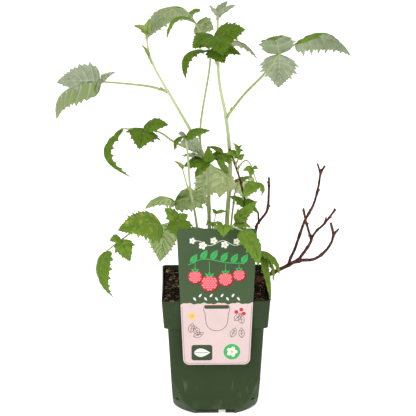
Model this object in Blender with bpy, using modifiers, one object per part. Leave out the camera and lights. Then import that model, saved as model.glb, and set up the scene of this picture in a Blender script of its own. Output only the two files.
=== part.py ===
"""A raspberry plant in a square nursery pot, with a plain picture card on the rim.

Run it with: blender --background --python part.py

The origin is on the ground under the middle of the pot. X runs to the right,
Y away from the card, Z up. Sizes below are in millimetres, Blender's in metres.
"""

import math
from collections import namedtuple

import bmesh
import bpy
from mathutils import Matrix, Vector

MM = 0.001
NAME = "raspberry_in_pot"
GAP = 0.3
WELD = 0.002

# Pot
POT_HEIGHT = 152.0
RIM_HALF = 65.0
COLLAR_HEIGHT = 36.0
COLLAR_FOOT_HALF = 62.6
SHOULDER_HALF = 58.0
BASE_HALF = 51.8
WALL = 1.6
CORNER_RADIUS = 5.0
CORNER_STEPS = 6
SKIRT_HEIGHT = 16.0
CONE_TOP = 47.0
CONE_AT_GROUND = 55.5
CONE_AT_SKIRT = 65.0
FLOOR_UNDERSIDE = 7.0
FLOOR_THICK = 1.6
FOOT_THICK = 2.4
NOTCH_WIDTH = 46.0
NOTCH_HEIGHT = 5.5
PAD_RADIUS = 12.0
DRAIN_WIDTH = 5.4
DRAIN_HEIGHT = 2.2
DRAIN_LEVEL = 17.3
DRAIN_HEADING = 46.0

# Soil
SOIL_TOP = 148.0

# Card
CARD_TOP = 244.0
CARD_FOOT = 71.0
CARD_TOP_WIDTH = 94.0
CARD_FOOT_WIDTH = 81.0
CARD_CENTRE = 0.7
CARD_THICK = 0.8
CARD_BACK = -(RIM_HALF + GAP)
CARD_TOP_CORNER = 6.0
CARD_FOOT_CORNER = 8.0
TAB_WIDTH = 30.0
TAB_THICK = 0.6
TAB_DROP = 3.0

# Limbs and leaves
ROUTE_STEP = 13.0
LIMB_RINGS = 2
STALK_RINGS = 1
BLADE_STEP = 9.0
BLADE_THICKNESS = 0.011
BLADE_THINNEST = 0.45
ROOT_SINK = 0.4
BASE_FULLNESS = 0.38
TIP_TAPER = 0.95

COLOURS = {
    "pot_green": ((0.050, 0.085, 0.032), 0.5),
    "peat": ((0.030, 0.016, 0.009), 0.95),
    "card_green": ((0.070, 0.120, 0.060), 0.55),
    "cane_green": ((0.45, 0.56, 0.24), 0.5),
    "old_wood": ((0.085, 0.030, 0.018), 0.7),
    "leaf_green": ((0.110, 0.230, 0.035), 0.5),
    "leaf_pale": ((0.360, 0.460, 0.250), 0.6),
}

Limb = namedtuple("Limb", "name colour carrier route thick spurs")
Leaf = namedtuple("Leaf", "name colour carrier stalk thick blades")
Blade = namedtuple("Blade", "along tip width bow face fold twist", defaults=(0, 0))

# Canes that rise from the soil, and the branches they carry. A route starts in the soil
# or at a place on the carrier, and thick is the radius at the two ends.
LIMBS = [
    Limb("cane_left", "cane_green", None,
         [(-5, 4, 140), (-7, 3, 229), (-9, 0, 293), (-19, -4, 326), (-43, -8, 372),
          (-67, -12, 416), (-77, -15, 440), (-80, -16, 461)], (2.3, 1.0), []),
    Limb("cane_right", "cane_green", None,
         [(14, -3, 140), (14.5, 0, 227), (18, 2, 285), (17, 4, 322), (12.7, 7, 361),
          (5.2, 9, 400), (3, 11, 440), (3, 12, 477)], (2.8, 1.1), []),
    Limb("shoot_left", "cane_green", None,
         [(-16, -14, 140), (-22, -20, 229), (-30, -34, 283), (-33, -41, 326),
          (-35, -43, 345)], (1.4, 1.0), []),
    Limb("shoot_right", "cane_green", None,
         [(16, 12, 140), (20, 14, 220), (23, 16, 249)], (1.2, 1.0), []),
    Limb("shoot_low", "cane_green", None,
         [(-22, -4, 140), (-30, -12, 190), (-40, -20, 230)], (1.6, 1.3), []),
    Limb("old_cane_thin", "old_wood", None,
         [(30, 8, 140), (37, 10, 219), (37, 9, 248), (34, 5, 266), (28, 1, 290),
          (22, -3, 308), (17, -6, 324)], (1.6, 1.1), []),
    Limb("old_cane_short", "old_wood", None,
         [(40, 14, 140), (50, 20, 210), (54, 20, 223), (64, 22, 237), (66, 24, 258),
          (66, 24, 279)], (2.1, 1.3), [((54, 20, 221), (53, 18, 235), 1.2)]),
    Limb("old_limb_low", "old_wood", None,
         [(32, -4, 142), (47, 0, 150), (64, 4, 159), (84, 9, 167.5), (102, 14, 174.5),
          (122, 22, 173.5), (136, 30, 180), (145, 37, 190), (148, 40, 199), (154, 40, 207)],
         (2.9, 1.4), [((148, 40, 199), (144, 40, 215), 1.6)]),
    Limb("old_branch_tall", "old_wood", "old_limb_low",
         [(90, 11, 169.5), (93, 14, 178), (98, 18, 187), (104, 24, 203), (111, 28, 222),
          (121, 32, 240), (127, 36, 260), (130, 38, 279), (135, 38, 289)],
         (1.9, 1.3), [((130, 38, 278), (126, 38, 292), 1.1)]),
    Limb("old_branch_middle", "old_wood", "old_limb_low",
         [(103, 14, 174.5), (106, 11, 182), (111, 7, 191), (117, 0, 206), (114, -3, 217),
          (109, -8, 235), (106, -10, 250)], (2.0, 1.2), []),
    Limb("old_branch_side", "old_wood", "old_branch_middle",
         [(116, -1, 209), (123, -5, 220), (132, -8, 230), (145, -10, 249)],
         (1.5, 1.1), [((132, -8, 230), (134, -8, 238), 1.0)]),
]

# Directions that the upper side of a leaflet can look in
SKY = (0, 0, 1)
VIEWER = (0, -0.6, 0.8)
LOW_VIEWER = (0, -0.85, 0.5)
AWAY = (0.1, 1, 0.35)
AWAY_UP = (0.1, 0.55, 0.85)
LEFT = (-1, -0.2, 0.3)
LEFT_UP = (-0.5, -0.2, 0.85)
RIGHT_UP = (0.4, -0.2, 0.9)

# Compound leaves. Along is where on the stalk a leaflet is rooted, tip where it ends, bow how
# far its midrib arches over the straight line, fold how far its edges rise and twist how
# far it turns, both in degrees.
LEAVES = [
    Leaf("leaf_left", "leaf_pale", "cane_left",
         [(-57, -10, 396), (-77, 4, 398), (-100, 20, 397), (-138, 42, 395)], (1.2, 0.8), [
             Blade(0.99, (-189, 30, 397), 38, 0.05, (0, 1, 0.3), 18),
             Blade(0.97, (-194, 84, 337), 39, -0.25, (0.79, 0.31, -0.54), 44),
             Blade(0.94, (-119, 30, 409), 14, 0.05, (-0.5, 0.6, 0.6), 30),
             Blade(0.95, (-141, 20, 385), 13, 0.08, LEFT, 30)]),
    Leaf("leaf_right", "leaf_pale", "cane_right",
         [(12.6, 7, 358), (34, 12, 385), (59, 27, 407), (79, 42, 429), (98, 52, 438)],
         (1.4, 1.0), [
             Blade(0.80, (78, 60, 382), 43, 0.10, (0.15, 0.95, 0.33), -20),
             Blade(0.80, (70, 15, 450), 40, 0.35, (0, 0.8, 0.6), -8),
             Blade(0.99, (166, 66, 420), 50, 0.28, (0.1, 0.68, 0.73), -30)]),
    Leaf("leaf_top", "leaf_pale", "cane_left",
         [(-18, -4, 324), (-17.5, 0, 349), (-15, 4, 369), (-5.5, 20, 430), (-16, 32, 455),
          (-28, 42, 474), (-38, 50, 483)], (1.1, 0.8), [
             Blade(0.99, (-80, 72, 442), 45, 0.20, (-0.45, 0.75, 0.4), -15),
             Blade(0.94, (-17, 58, 479), 25, 0.10, (0, 0.7, 0.7), -35),
             Blade(0.85, (-1, 46, 457), 27, 0.10, (0.2, 0.95, 0.2), -10),
             Blade(0.86, (-57, 22, 451), 16, 0.33, LEFT_UP, 10)]),
    Leaf("leaf_dark", "leaf_green", "cane_right",
         [(3, 10, 423), (-2, -6, 437), (-4, -16, 451), (-2, -26, 465)], (1.0, 0.8), [
             Blade(0.99, (-27, -48, 456), 32, 0.12, VIEWER, -15),
             Blade(0.97, (6, -78, 455), 46, 0.14, (0, -0.4, 0.9), -12),
             Blade(0.98, (33, -52, 478), 31, 0.03, (0, -0.75, 0.65), -15),
             Blade(0.62, (10, -34, 435), 26, 0.10, VIEWER, -10),
             Blade(0.58, (29, -30, 444), 20, 0.12, VIEWER, -10),
             Blade(0.52, (50, -12, 433), 18, 0.30, (0.2, 0.6, 0.8), -10),
             Blade(0.50, (-35, -34, 417), 22, 0.36, (-0.7, 0, 0.7), -10, -40)]),
    Leaf("leaf_middle_left", "leaf_green", "cane_left",
         [(-16, -3, 315), (-33, -10, 326), (-51, -20, 338), (-69, -32, 353),
          (-102, -50, 361), (-110, -56, 363)], (1.2, 0.7), [
             Blade(0.73, (-89, -76, 344), 34, 0.14, LOW_VIEWER, -10),
             Blade(0.75, (-55, -56, 367), 24, 0.15, VIEWER, -12),
             Blade(0.98, (-99, -84, 313), 23, 0.45, (-1, -0.35, 0.3), -25)]),
    Leaf("leaf_shoot_top", "leaf_green", "shoot_left",
         [(-35, -43, 345), (-35, -44, 349)], (0.9, 0.8), [
             Blade(0.8, (-7, -56, 360), 15, 0.14, VIEWER, -12),
             Blade(0.7, (-20, -26, 325), 21, 0.12, (0.1, 1, 0.3), -15),
             Blade(0.7, (-48, -60, 337), 13, 0.30, LEFT_UP, -15),
             Blade(0.8, (-44, -30, 350), 12, 0.12, AWAY, -20)]),
    Leaf("leaf_bridge", "leaf_green", "cane_right",
         [(18, 2, 282), (3, -12, 299), (-10, -21, 312)], (1.5, 1.0), [
             Blade(0.98, (-40, -28, 322), 27, 0.15, AWAY_UP, -10),
             Blade(0.99, (-38, -25, 308), 19, 0.15, VIEWER, -15),
             Blade(0.96, (-24, -34, 297), 19, 0.12, (-0.6, -0.3, 0.5), -15),
             Blade(0.95, (-9, -30, 335), 14, 0.15, VIEWER, -10)]),
    Leaf("leaf_back_left", "leaf_pale", "cane_right",
         [(18, 2, 270), (14, 16, 281), (9, 30, 286)], (1.2, 0.9), [
             Blade(0.99, (-22, 60, 243), 45, 0.08, AWAY, -6),
             Blade(0.85, (6, 38, 249), 28, 0.04, AWAY, -6),
             Blade(0.97, (3, 64, 290), 26, 0.15, AWAY, -8)]),
    Leaf("leaf_back_right", "leaf_pale", "shoot_right",
         [(23, 16, 249), (25, 21, 262), (30, 32, 272)], (0.9, 0.8), [
             Blade(0.97, (40, 64, 236), 26, 0.10, AWAY, -8),
             Blade(0.95, (50, 60, 262), 20, 0.15, AWAY_UP, -10)]),
    Leaf("leaf_inner", "leaf_pale", "cane_left",
         [(-7, 3, 246), (-13, -6, 266), (-16, -12, 287), (-18, -16, 296)], (1.1, 0.8), [
             Blade(0.97, (-22, -19, 304), 6, 0.10, LEFT_UP),
             Blade(0.98, (-14, -18, 305), 6, 0.10, VIEWER)]),
    Leaf("leaf_low_back", "leaf_pale", "shoot_low",
         [(-38, -18, 222), (-54, 0, 231), (-56, 18, 240), (-48, 34, 246)], (1.0, 0.8), [
             Blade(0.98, (-5, 46, 242), 36, 0.10, AWAY, -10),
             Blade(0.94, (-13, 70, 224), 28, 0.15, AWAY, -10),
             Blade(0.97, (-86, 62, 227), 23, 0.15, (0.1, 0.8, 0.6), -15)]),
    Leaf("leaf_low_left", "leaf_green", "shoot_low",
         [(-40, -20, 230), (-45, -28, 241), (-65, -38, 239), (-90, -50, 240),
          (-112, -62, 229), (-130, -70, 217)], (1.2, 0.7), [
             Blade(0.14, (-61, -28, 257), 17, 0.10, VIEWER, -12),
             Blade(0.13, (-33, -24, 248), 16, 0.10, VIEWER, -12),
             Blade(0.12, (-41, -60, 227), 30, 0.15, LOW_VIEWER, -12),
             Blade(0.32, (-115, -74, 245), 42, 0.12, (0, -0.7, 0.7), -10),
             Blade(0.30, (-67, -8, 182), 38, 0.10, AWAY, -12),
             Blade(0.80, (-125, -70, 231), 16, 0.15, VIEWER, -12),
             Blade(0.80, (-101, -84, 210), 22, 0.12, LOW_VIEWER, -12),
             Blade(0.98, (-121, -92, 168), 30, 0.27, (-0.7, -0.7, 0.3), -12, 25)]),
    Leaf("sprig_left", "leaf_green", "old_cane_thin",
         [(22, -3, 308), (15, -8, 318), (9, -12, 320)], (0.8, 0.6), [
             Blade(0.97, (-10, -16, 329), 7, 0.15, VIEWER),
             Blade(0.96, (4, -24, 308), 15, 0.15, LOW_VIEWER, -12),
             Blade(0.90, (17, -20, 309), 13, 0.15, LOW_VIEWER, -12),
             Blade(0.98, (-8, -14, 311), 11, 0.15, VIEWER, -12)]),
    Leaf("sprig_top", "leaf_green", "old_cane_thin",
         [(24, -2, 301), (27, -6, 311), (28, -8, 322)], (0.9, 0.6), [
             Blade(0.70, (12, -20, 321), 12, 0.10, VIEWER),
             Blade(0.72, (23, -14, 329), 11, 0.10, VIEWER),
             Blade(0.70, (31, -18, 313), 13, 0.12, VIEWER),
             Blade(0.97, (20, -12, 333), 5, 0.15, VIEWER),
             Blade(0.98, (32, -14, 331), 5, 0.15, VIEWER),
             Blade(0.97, (34, -6, 322), 4, 0.20, VIEWER)]),
    Leaf("sprig_right", "leaf_green", "old_cane_thin",
         [(27, 0, 294), (32, -4, 306), (38, -5, 309), (43, -7, 303), (46, -9, 294),
          (50, -12, 282)], (0.8, 0.6), [
             Blade(0.62, (51, -14, 301), 7, 0.15, VIEWER),
             Blade(0.64, (33, -10, 298), 9, 0.15, VIEWER),
             Blade(0.66, (41, -16, 291), 7, 0.15, VIEWER),
             Blade(0.97, (55, -14, 267), 13, 0.28, RIGHT_UP, -10),
             Blade(0.98, (32, -26, 269), 17, 0.14, VIEWER, -12)]),
    Leaf("sprig_low", "leaf_green", "old_cane_thin",
         [(37, 9, 248), (36, 1, 252), (35, -4, 252)], (0.8, 0.6), [
             Blade(0.96, (17, -12, 266), 13, 0.12, VIEWER, -12),
             Blade(0.97, (53, -12, 244), 9, 0.20, VIEWER, -10),
             Blade(0.98, (47, -12, 260), 12, 0.15, VIEWER, -10)]),
    Leaf("leaf_front", "leaf_green", "cane_right",
         [(14, -1, 196), (13, -26, 216), (8, -56, 240), (11, -66, 249), (22, -72, 247),
          (31, -74, 244)], (1.0, 0.7), [
             Blade(0.74, (8, -85, 240), 23, 0.22, VIEWER, -10),
             Blade(0.72, (-3, -71, 253), 8, 0.10, VIEWER),
             Blade(0.98, (49, -86, 205), 27, 0.17, (0.6, -0.75, 0.35), -10)]),
    Leaf("leaf_front_right", "leaf_green", "cane_right",
         [(14, -1, 211), (19, -12, 226), (24, -23, 238)], (0.8, 0.6), [
             Blade(0.97, (50, -24, 265), 15, 0.10, (0.3, -0.7, 0.6), -12),
             Blade(0.80, (43, -28, 232), 10, 0.15, VIEWER, -10)]),
    Leaf("leaf_corner", "leaf_green", "old_cane_short",
         [(47, 18, 190), (54, 4, 198), (55, -12, 203), (53, -28, 200)], (1.0, 0.8), [
             Blade(0.97, (76, -48, 180), 16, 0.18, RIGHT_UP, -10),
             Blade(0.96, (63, -32, 176), 13, 0.12, AWAY, -10),
             Blade(0.98, (65, -69, 155), 9, 0.04, (0.6, -0.6, 0.4), 0, 50),
             Blade(0.90, (69, -38, 166), 10, 0.18, RIGHT_UP, -10)]),
    Leaf("leaf_tuft", "leaf_green", "cane_left",
         [(-7, 3, 214), (-2, -4, 228), (1, -6, 244)], (0.7, 0.5), [
             Blade(0.97, (14, -12, 247), 6, 0.12, VIEWER),
             Blade(0.98, (-4, -6, 249), 5, 0.10, VIEWER),
             Blade(0.40, (-12, -36, 237), 9, 0.15, VIEWER)]),
    Leaf("leaf_rear_right", "leaf_pale", "shoot_right",
         [(17, 13, 176), (24, 34, 196), (27, 56, 200)], (1.0, 0.8), [
             Blade(0.98, (30, 108, 168), 36, 0.14, SKY, -12),
             Blade(0.90, (47, 84, 174), 26, 0.14, SKY, -12),
             Blade(0.88, (3, 84, 178), 26, 0.14, SKY, -12)]),
    Leaf("leaf_rear_left", "leaf_pale", "cane_left",
         [(-6, 4, 184), (-16, 24, 202), (-26, 46, 203)], (1.0, 0.8), [
             Blade(0.98, (-36, 96, 174), 34, 0.14, SKY, -12),
             Blade(0.90, (-13, 76, 180), 24, 0.14, SKY, -12),
             Blade(0.88, (-46, 62, 184), 22, 0.14, SKY, -12)]),
    Leaf("tip_left", "leaf_green", "cane_left",
         [(-80, -16, 461), (-80, -16, 466)], (0.9, 0.8), [
             Blade(0.6, (-95, -24, 477), 13, 0.12, VIEWER, 20),
             Blade(0.7, (-76, -10, 483), 9, 0.12, VIEWER, 20)]),
    Leaf("tip_right", "leaf_pale", "cane_right",
         [(3, 12, 477), (3, 12, 482)], (1.0, 0.9), [
             Blade(0.6, (-7, 10, 494), 6, 0.05, AWAY, 25),
             Blade(0.7, (15, 20, 497), 12, 0.15, AWAY, 20),
             Blade(0.7, (24, 3, 495), 8, 0.12, AWAY, 30)]),
    Leaf("bud_left", "leaf_pale", "cane_left",
         [(-74, -14, 428), (-78, -18, 438)], (0.7, 0.6), [
             Blade(0.97, (-86, -24, 455), 6, 0.08, VIEWER, 30)]),
    Leaf("bud_shoot", "leaf_pale", "shoot_left",
         [(-30, -34, 281), (-33, -37, 285), (-36, -40, 297), (-39, -44, 310)], (0.7, 0.6), [
             Blade(0.97, (-49, -50, 322), 7, 0.08, VIEWER, 30)]),
]


def clear_scene():
    """Empties the scene, so that the part can be run twice."""
    for obj in list(bpy.data.objects):
        bpy.data.objects.remove(obj, do_unlink=True)


def make_collection(name):
    collection = bpy.data.collections.new(name)
    bpy.context.scene.collection.children.link(collection)
    return collection


def make_material(name):
    """A plain finish of the colour and roughness that the pieces need."""
    colour, roughness = COLOURS[name]
    material = bpy.data.materials.new(name)
    material.use_nodes = True
    shader = material.node_tree.nodes["Principled BSDF"]
    shader.inputs["Base Color"].default_value = (*colour, 1.0)
    shader.inputs["Roughness"].default_value = roughness
    shader.inputs["Metallic"].default_value = 0.0
    return material


def object_from_mesh(name, mesh, collection):
    obj = bpy.data.objects.new(name, mesh)
    collection.objects.link(obj)
    return obj


def object_from_bmesh(name, bm, collection):
    bmesh.ops.recalc_face_normals(bm, faces=bm.faces)
    mesh = bpy.data.meshes.new(name)
    bm.to_mesh(mesh)
    bm.free()
    return object_from_mesh(name, mesh, collection)


def baked(obj, collection):
    """Replaces an object by the mesh that its modifiers or its bevel give."""
    bpy.context.view_layer.update()
    graph = bpy.context.evaluated_depsgraph_get()
    mesh = bpy.data.meshes.new_from_object(obj.evaluated_get(graph))
    mesh.transform(obj.matrix_world)
    bm = bmesh.new()
    bm.from_mesh(mesh)
    bmesh.ops.remove_doubles(bm, verts=bm.verts, dist=WELD * MM)
    fill_pockets(bm)
    bm.to_mesh(mesh)
    bm.free()
    name = obj.name
    bpy.data.objects.remove(obj, do_unlink=True)
    return object_from_mesh(name, mesh, collection)


def shell_faces(start):
    """Every face that can be reached from one face over its edges."""
    shell, front = {start}, [start]
    while front:
        for edge in front.pop().edges:
            for face in edge.link_faces:
                if face not in shell:
                    shell.add(face)
                    front.append(face)
    return shell


def shell_volume(shell):
    """Six times the volume inside a shell, below zero where the shell bounds a pocket."""
    volume = 0.0
    for face in shell:
        corners = [vert.co for vert in face.verts]
        for second, third in zip(corners[1:], corners[2:]):
            volume += corners[0].dot(second.cross(third))
    return volume


def fill_pockets(bm):
    """Makes a joined piece solid, by taking away the walls of pockets closed in inside it."""
    left = set(bm.faces)
    pockets = set()
    while left:
        shell = shell_faces(next(iter(left)))
        left -= shell
        if shell_volume(shell) < 0:
            pockets |= shell
    if pockets:
        bmesh.ops.delete(bm, geom=list(pockets), context="FACES")


def combine(target, others, operation, collection):
    """Joins others to target, or cuts them out of it, in one Boolean step."""
    tools = bpy.data.collections.new(f"{target.name}_tools")
    for other in others:
        tools.objects.link(other)
    step = target.modifiers.new(operation.lower(), "BOOLEAN")
    step.operation = operation
    step.operand_type = "COLLECTION"
    step.collection = tools
    step.solver = "EXACT"
    result = baked(target, collection)
    for other in others:
        bpy.data.objects.remove(other, do_unlink=True)
    bpy.data.collections.remove(tools)
    return result


def box(name, low, high, collection):
    """A box between two corners, in millimetres."""
    low, high = Vector(low) * MM, Vector(high) * MM
    bm = bmesh.new()
    bmesh.ops.create_cube(bm, size=1.0)
    bmesh.ops.scale(bm, verts=bm.verts, vec=high - low)
    bmesh.ops.translate(bm, verts=bm.verts, vec=(low + high) / 2)
    return object_from_bmesh(name, bm, collection)


def loft(name, sections, collection):
    """A closed solid through rings of points, with a flat cap at each end."""
    bm = bmesh.new()
    rings = [[bm.verts.new(point) for point in section] for section in sections]
    for lower, upper in zip(rings, rings[1:]):
        for i in range(len(lower)):
            j = (i + 1) % len(lower)
            bm.faces.new((lower[i], lower[j], upper[j], upper[i]))
    bm.faces.new(rings[0])
    bm.faces.new(rings[-1])
    return object_from_bmesh(name, bm, collection)


def pot_half(z):
    """Half the width of the pot's tapering body at one level."""
    shoulder = POT_HEIGHT - COLLAR_HEIGHT
    return BASE_HALF + (SHOULDER_HALF - BASE_HALF) * z / shoulder


def cone_radius(z):
    """The cone that trims the corners near the base, or None above it."""
    if z > CONE_TOP:
        return None
    if z <= SKIRT_HEIGHT:
        return CONE_AT_GROUND + (CONE_AT_SKIRT - CONE_AT_GROUND) * z / SKIRT_HEIGHT
    top = (pot_half(CONE_TOP) - CORNER_RADIUS) * math.sqrt(2) + CORNER_RADIUS
    return CONE_AT_SKIRT + (top - CONE_AT_SKIRT) * (z - SKIRT_HEIGHT) / (CONE_TOP - SKIRT_HEIGHT)


def pot_section(z, half, cone=None):
    """One level of the pot: a square with rounded corners, or corners cut by the cone."""
    radius = cone or CORNER_RADIUS
    centre = 0.0 if cone else half - CORNER_RADIUS
    start = math.acos(min(1.0, (half - centre) / radius))
    sweep = math.pi / 2 - 2 * start
    points = []
    for quarter in range(4):
        for step in range(CORNER_STEPS + 1):
            angle = start + sweep * step / CORNER_STEPS
            corner = Vector((centre + radius * math.cos(angle),
                             centre + radius * math.sin(angle), z)) * MM
            corner.rotate(Matrix.Rotation(quarter * math.pi / 2, 3, "Z"))
            points.append(corner)
    return points


def body_section(z, inset=0.0):
    """The body's outline at one level, moved in by the wall or by the soil's gap."""
    cone = cone_radius(z)
    return pot_section(z, pot_half(z) - inset, cone - inset if cone else None)


def make_pot(collection):
    """The pot: feet, floor, tapering body and collar, open at the top."""
    shoulder = POT_HEIGHT - COLLAR_HEIGHT
    floor_top = FLOOR_UNDERSIDE + FLOOR_THICK
    levels = (SKIRT_HEIGHT, 31.0, CONE_TOP, CONE_TOP + 6)
    inner_shoulder = shoulder + WALL
    outer = [body_section(0.0)]
    outer += [body_section(z) for z in levels]
    outer += [body_section(shoulder), pot_section(shoulder, COLLAR_FOOT_HALF),
              pot_section(POT_HEIGHT, RIM_HALF)]
    inner = [pot_section(POT_HEIGHT, RIM_HALF - WALL),
             pot_section(inner_shoulder, COLLAR_FOOT_HALF - WALL),
             body_section(shoulder, WALL)]
    inner += [body_section(z, WALL) for z in reversed(levels)]
    inner += [body_section(floor_top, WALL)]
    under = [body_section(FLOOR_UNDERSIDE, FOOT_THICK), body_section(0.0, FOOT_THICK)]
    pot = loft("pot", under + outer + inner, collection)
    pot = combine(pot, [make_pad(collection)], "UNION", collection)
    return combine(pot, make_pot_cutters(collection), "DIFFERENCE", collection)


def make_pad(collection):
    """The round pad under the middle of the floor, level with the feet."""
    depth = FLOOR_UNDERSIDE + FLOOR_THICK / 2
    bm = bmesh.new()
    bmesh.ops.create_cone(bm, cap_ends=True, segments=24, radius1=PAD_RADIUS * MM,
                          radius2=PAD_RADIUS * MM, depth=depth * MM)
    bmesh.ops.translate(bm, verts=bm.verts, vec=(0, 0, depth / 2 * MM))
    return object_from_bmesh("pad", bm, collection)


def make_pot_cutters(collection):
    """The notches between the feet, and a drain slot through the wall at each corner."""
    cutters = []
    reach = BASE_HALF + 4
    inside = BASE_HALF - FOOT_THICK - 4
    for quarter in range(4):
        turn = Matrix.Rotation(quarter * math.pi / 2, 4, "Z")
        notch = box(f"notch_{quarter}", (-NOTCH_WIDTH / 2, -reach, -2),
                    (NOTCH_WIDTH / 2, -inside, NOTCH_HEIGHT), collection)
        notch.data.transform(turn)
        drain = box(f"drain_{quarter}", (inside, -DRAIN_WIDTH / 2, DRAIN_LEVEL - DRAIN_HEIGHT / 2),
                    (CONE_AT_SKIRT + 4, DRAIN_WIDTH / 2, DRAIN_LEVEL + DRAIN_HEIGHT / 2), collection)
        drain.data.transform(turn @ Matrix.Rotation(math.radians(-DRAIN_HEADING), 4, "Z"))
        cutters += [notch, drain]
    return cutters


def make_soil(collection):
    """The peat that fills the pot up to just below the rim."""
    shoulder = POT_HEIGHT - COLLAR_HEIGHT
    inset = WALL + GAP
    lowest = FLOOR_UNDERSIDE + FLOOR_THICK + GAP
    ledge = shoulder + WALL + GAP
    rise = (SOIL_TOP - shoulder) / COLLAR_HEIGHT
    top_half = COLLAR_FOOT_HALF + (RIM_HALF - COLLAR_FOOT_HALF) * rise - inset
    sections = [body_section(z, inset) for z in (lowest, SKIRT_HEIGHT, 31.0, CONE_TOP, CONE_TOP + 6)]
    sections += [pot_section(ledge, pot_half(shoulder) - inset),
                 pot_section(ledge + 0.2, COLLAR_FOOT_HALF - inset), pot_section(SOIL_TOP, top_half)]
    return loft("soil", sections, collection)


def card_outline():
    """The card's outline, a tapering plate with four round corners, as (x, z) pairs."""
    corners = [
        (CARD_FOOT_WIDTH / 2, CARD_FOOT, -90, CARD_FOOT_CORNER),
        (CARD_TOP_WIDTH / 2, CARD_TOP, 0, CARD_TOP_CORNER),
        (-CARD_TOP_WIDTH / 2, CARD_TOP, 90, CARD_TOP_CORNER),
        (-CARD_FOOT_WIDTH / 2, CARD_FOOT, 180, CARD_FOOT_CORNER),
    ]
    points = []
    for x, z, heading, radius in corners:
        centre_x = CARD_CENTRE + x - math.copysign(radius, x)
        centre_z = z - radius if z == CARD_TOP else z + radius
        for step in range(5):
            angle = math.radians(heading + 90 * step / 4)
            points.append((centre_x + radius * math.cos(angle), centre_z + radius * math.sin(angle)))
    return points


def make_card(collection):
    """The card: a thin plate in front of the rim, hung on it by a folded tab at its back."""
    curve = bpy.data.curves.new("label_card", "CURVE")
    curve.dimensions = "2D"
    curve.fill_mode = "BOTH"
    curve.extrude = CARD_THICK / 2 * MM
    outline = card_outline()
    spline = curve.splines.new("POLY")
    spline.points.add(len(outline) - 1)
    for point, (x, z) in zip(spline.points, outline):
        point.co = (x * MM, z * MM, 0, 1)
    spline.use_cyclic_u = True
    plate = object_from_mesh("label_card", curve, collection)
    plate.rotation_euler = (math.pi / 2, 0, 0)
    plate.location = (0, (CARD_BACK - CARD_THICK / 2) * MM, 0)
    plate = baked(plate, collection)
    side = TAB_WIDTH / 2
    over = POT_HEIGHT + GAP
    leg = -(RIM_HALF - WALL - GAP)
    bridge = box("bridge", (-side, CARD_BACK - CARD_THICK / 2, over),
                 (side, leg + TAB_THICK, over + TAB_THICK), collection)
    drop = box("drop", (-side, leg, POT_HEIGHT - TAB_DROP),
               (side, leg + TAB_THICK, over + TAB_THICK / 2), collection)
    return combine(plate, [bridge, drop], "UNION", collection)


def smooth_route(points, step=ROUTE_STEP):
    """Points along a smooth curve through the given ones, about one step apart."""
    knots = [Vector(p) for p in points]
    if len(knots) == 2:
        return knots
    ends = [2 * knots[0] - knots[1]] + knots + [2 * knots[-1] - knots[-2]]
    route = []
    for before, start, end, after in zip(ends, ends[1:], ends[2:], ends[3:]):
        count = max(1, round((end - start).length / step))
        for i in range(count):
            t = i / count
            route.append(0.5 * (2 * start + (end - before) * t
                                + (2 * before - 5 * start + 4 * end - after) * t ** 2
                                + (3 * start - before - 3 * end + after) * t ** 3))
    return route + [knots[-1]]


def lengths_along(route):
    """How far along the route each point is, from 0 to 1."""
    run = [0.0]
    for a, b in zip(route, route[1:]):
        run.append(run[-1] + (b - a).length)
    return [value / run[-1] for value in run]


def place_on(route, along):
    """The point of a route that lies a given share of its length along it."""
    shares = lengths_along(route)
    for i in range(1, len(route)):
        if along <= shares[i]:
            t = (along - shares[i - 1]) / (shares[i] - shares[i - 1])
            return route[i - 1].lerp(route[i], t)
    return route[-1].copy()


def make_tube(name, route, thick, rings, collection):
    """A tapering round tube along a route, with filled ends."""
    curve = bpy.data.curves.new(name, "CURVE")
    curve.dimensions = "3D"
    curve.bevel_depth = MM
    curve.bevel_resolution = rings
    curve.use_fill_caps = True
    spline = curve.splines.new("POLY")
    spline.points.add(len(route) - 1)
    for point, place, share in zip(spline.points, route, lengths_along(route)):
        point.co = (*(place * MM), 1)
        point.radius = thick[0] + (thick[1] - thick[0]) * share
    return baked(object_from_mesh(name, curve, collection), collection)


def cut_at_soil(obj):
    """Takes off what lies below the soil's surface, and closes the cut."""
    bm = bmesh.new()
    bm.from_mesh(obj.data)
    bmesh.ops.bisect_plane(bm, geom=bm.verts[:] + bm.edges[:] + bm.faces[:],
                           plane_co=(0, 0, (SOIL_TOP + GAP) * MM), plane_no=(0, 0, 1),
                           clear_inner=True)
    bmesh.ops.holes_fill(bm, edges=[edge for edge in bm.edges if edge.is_boundary])
    bmesh.ops.recalc_face_normals(bm, faces=bm.faces)
    bm.to_mesh(obj.data)
    bm.free()


def seat_on(carrier, near, towards, radius):
    """Where a stem that leaves a limb starts, clear of the limb by the gap."""
    route, thick = carrier
    shares = lengths_along(route)
    best = min(((near - a.lerp(b, t / 8)).length, i, t / 8)
               for i, (a, b) in enumerate(zip(route, route[1:])) for t in range(9))
    _, i, t = best
    axis = route[i].lerp(route[i + 1], t)
    way = (route[i + 1] - route[i]).normalized()
    share = shares[i] + (shares[i + 1] - shares[i]) * t
    limb_radius = thick[0] + (thick[1] - thick[0]) * share
    heading = (towards - axis).normalized()
    lean = heading.dot(way)
    across = math.sqrt(max(1e-6, 1 - lean * lean))
    if share > 0.995 and lean > 0.6:
        return axis + way * (GAP + (radius + limb_radius) * across)
    return axis + heading * (limb_radius + GAP + radius * abs(lean)) / across


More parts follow.
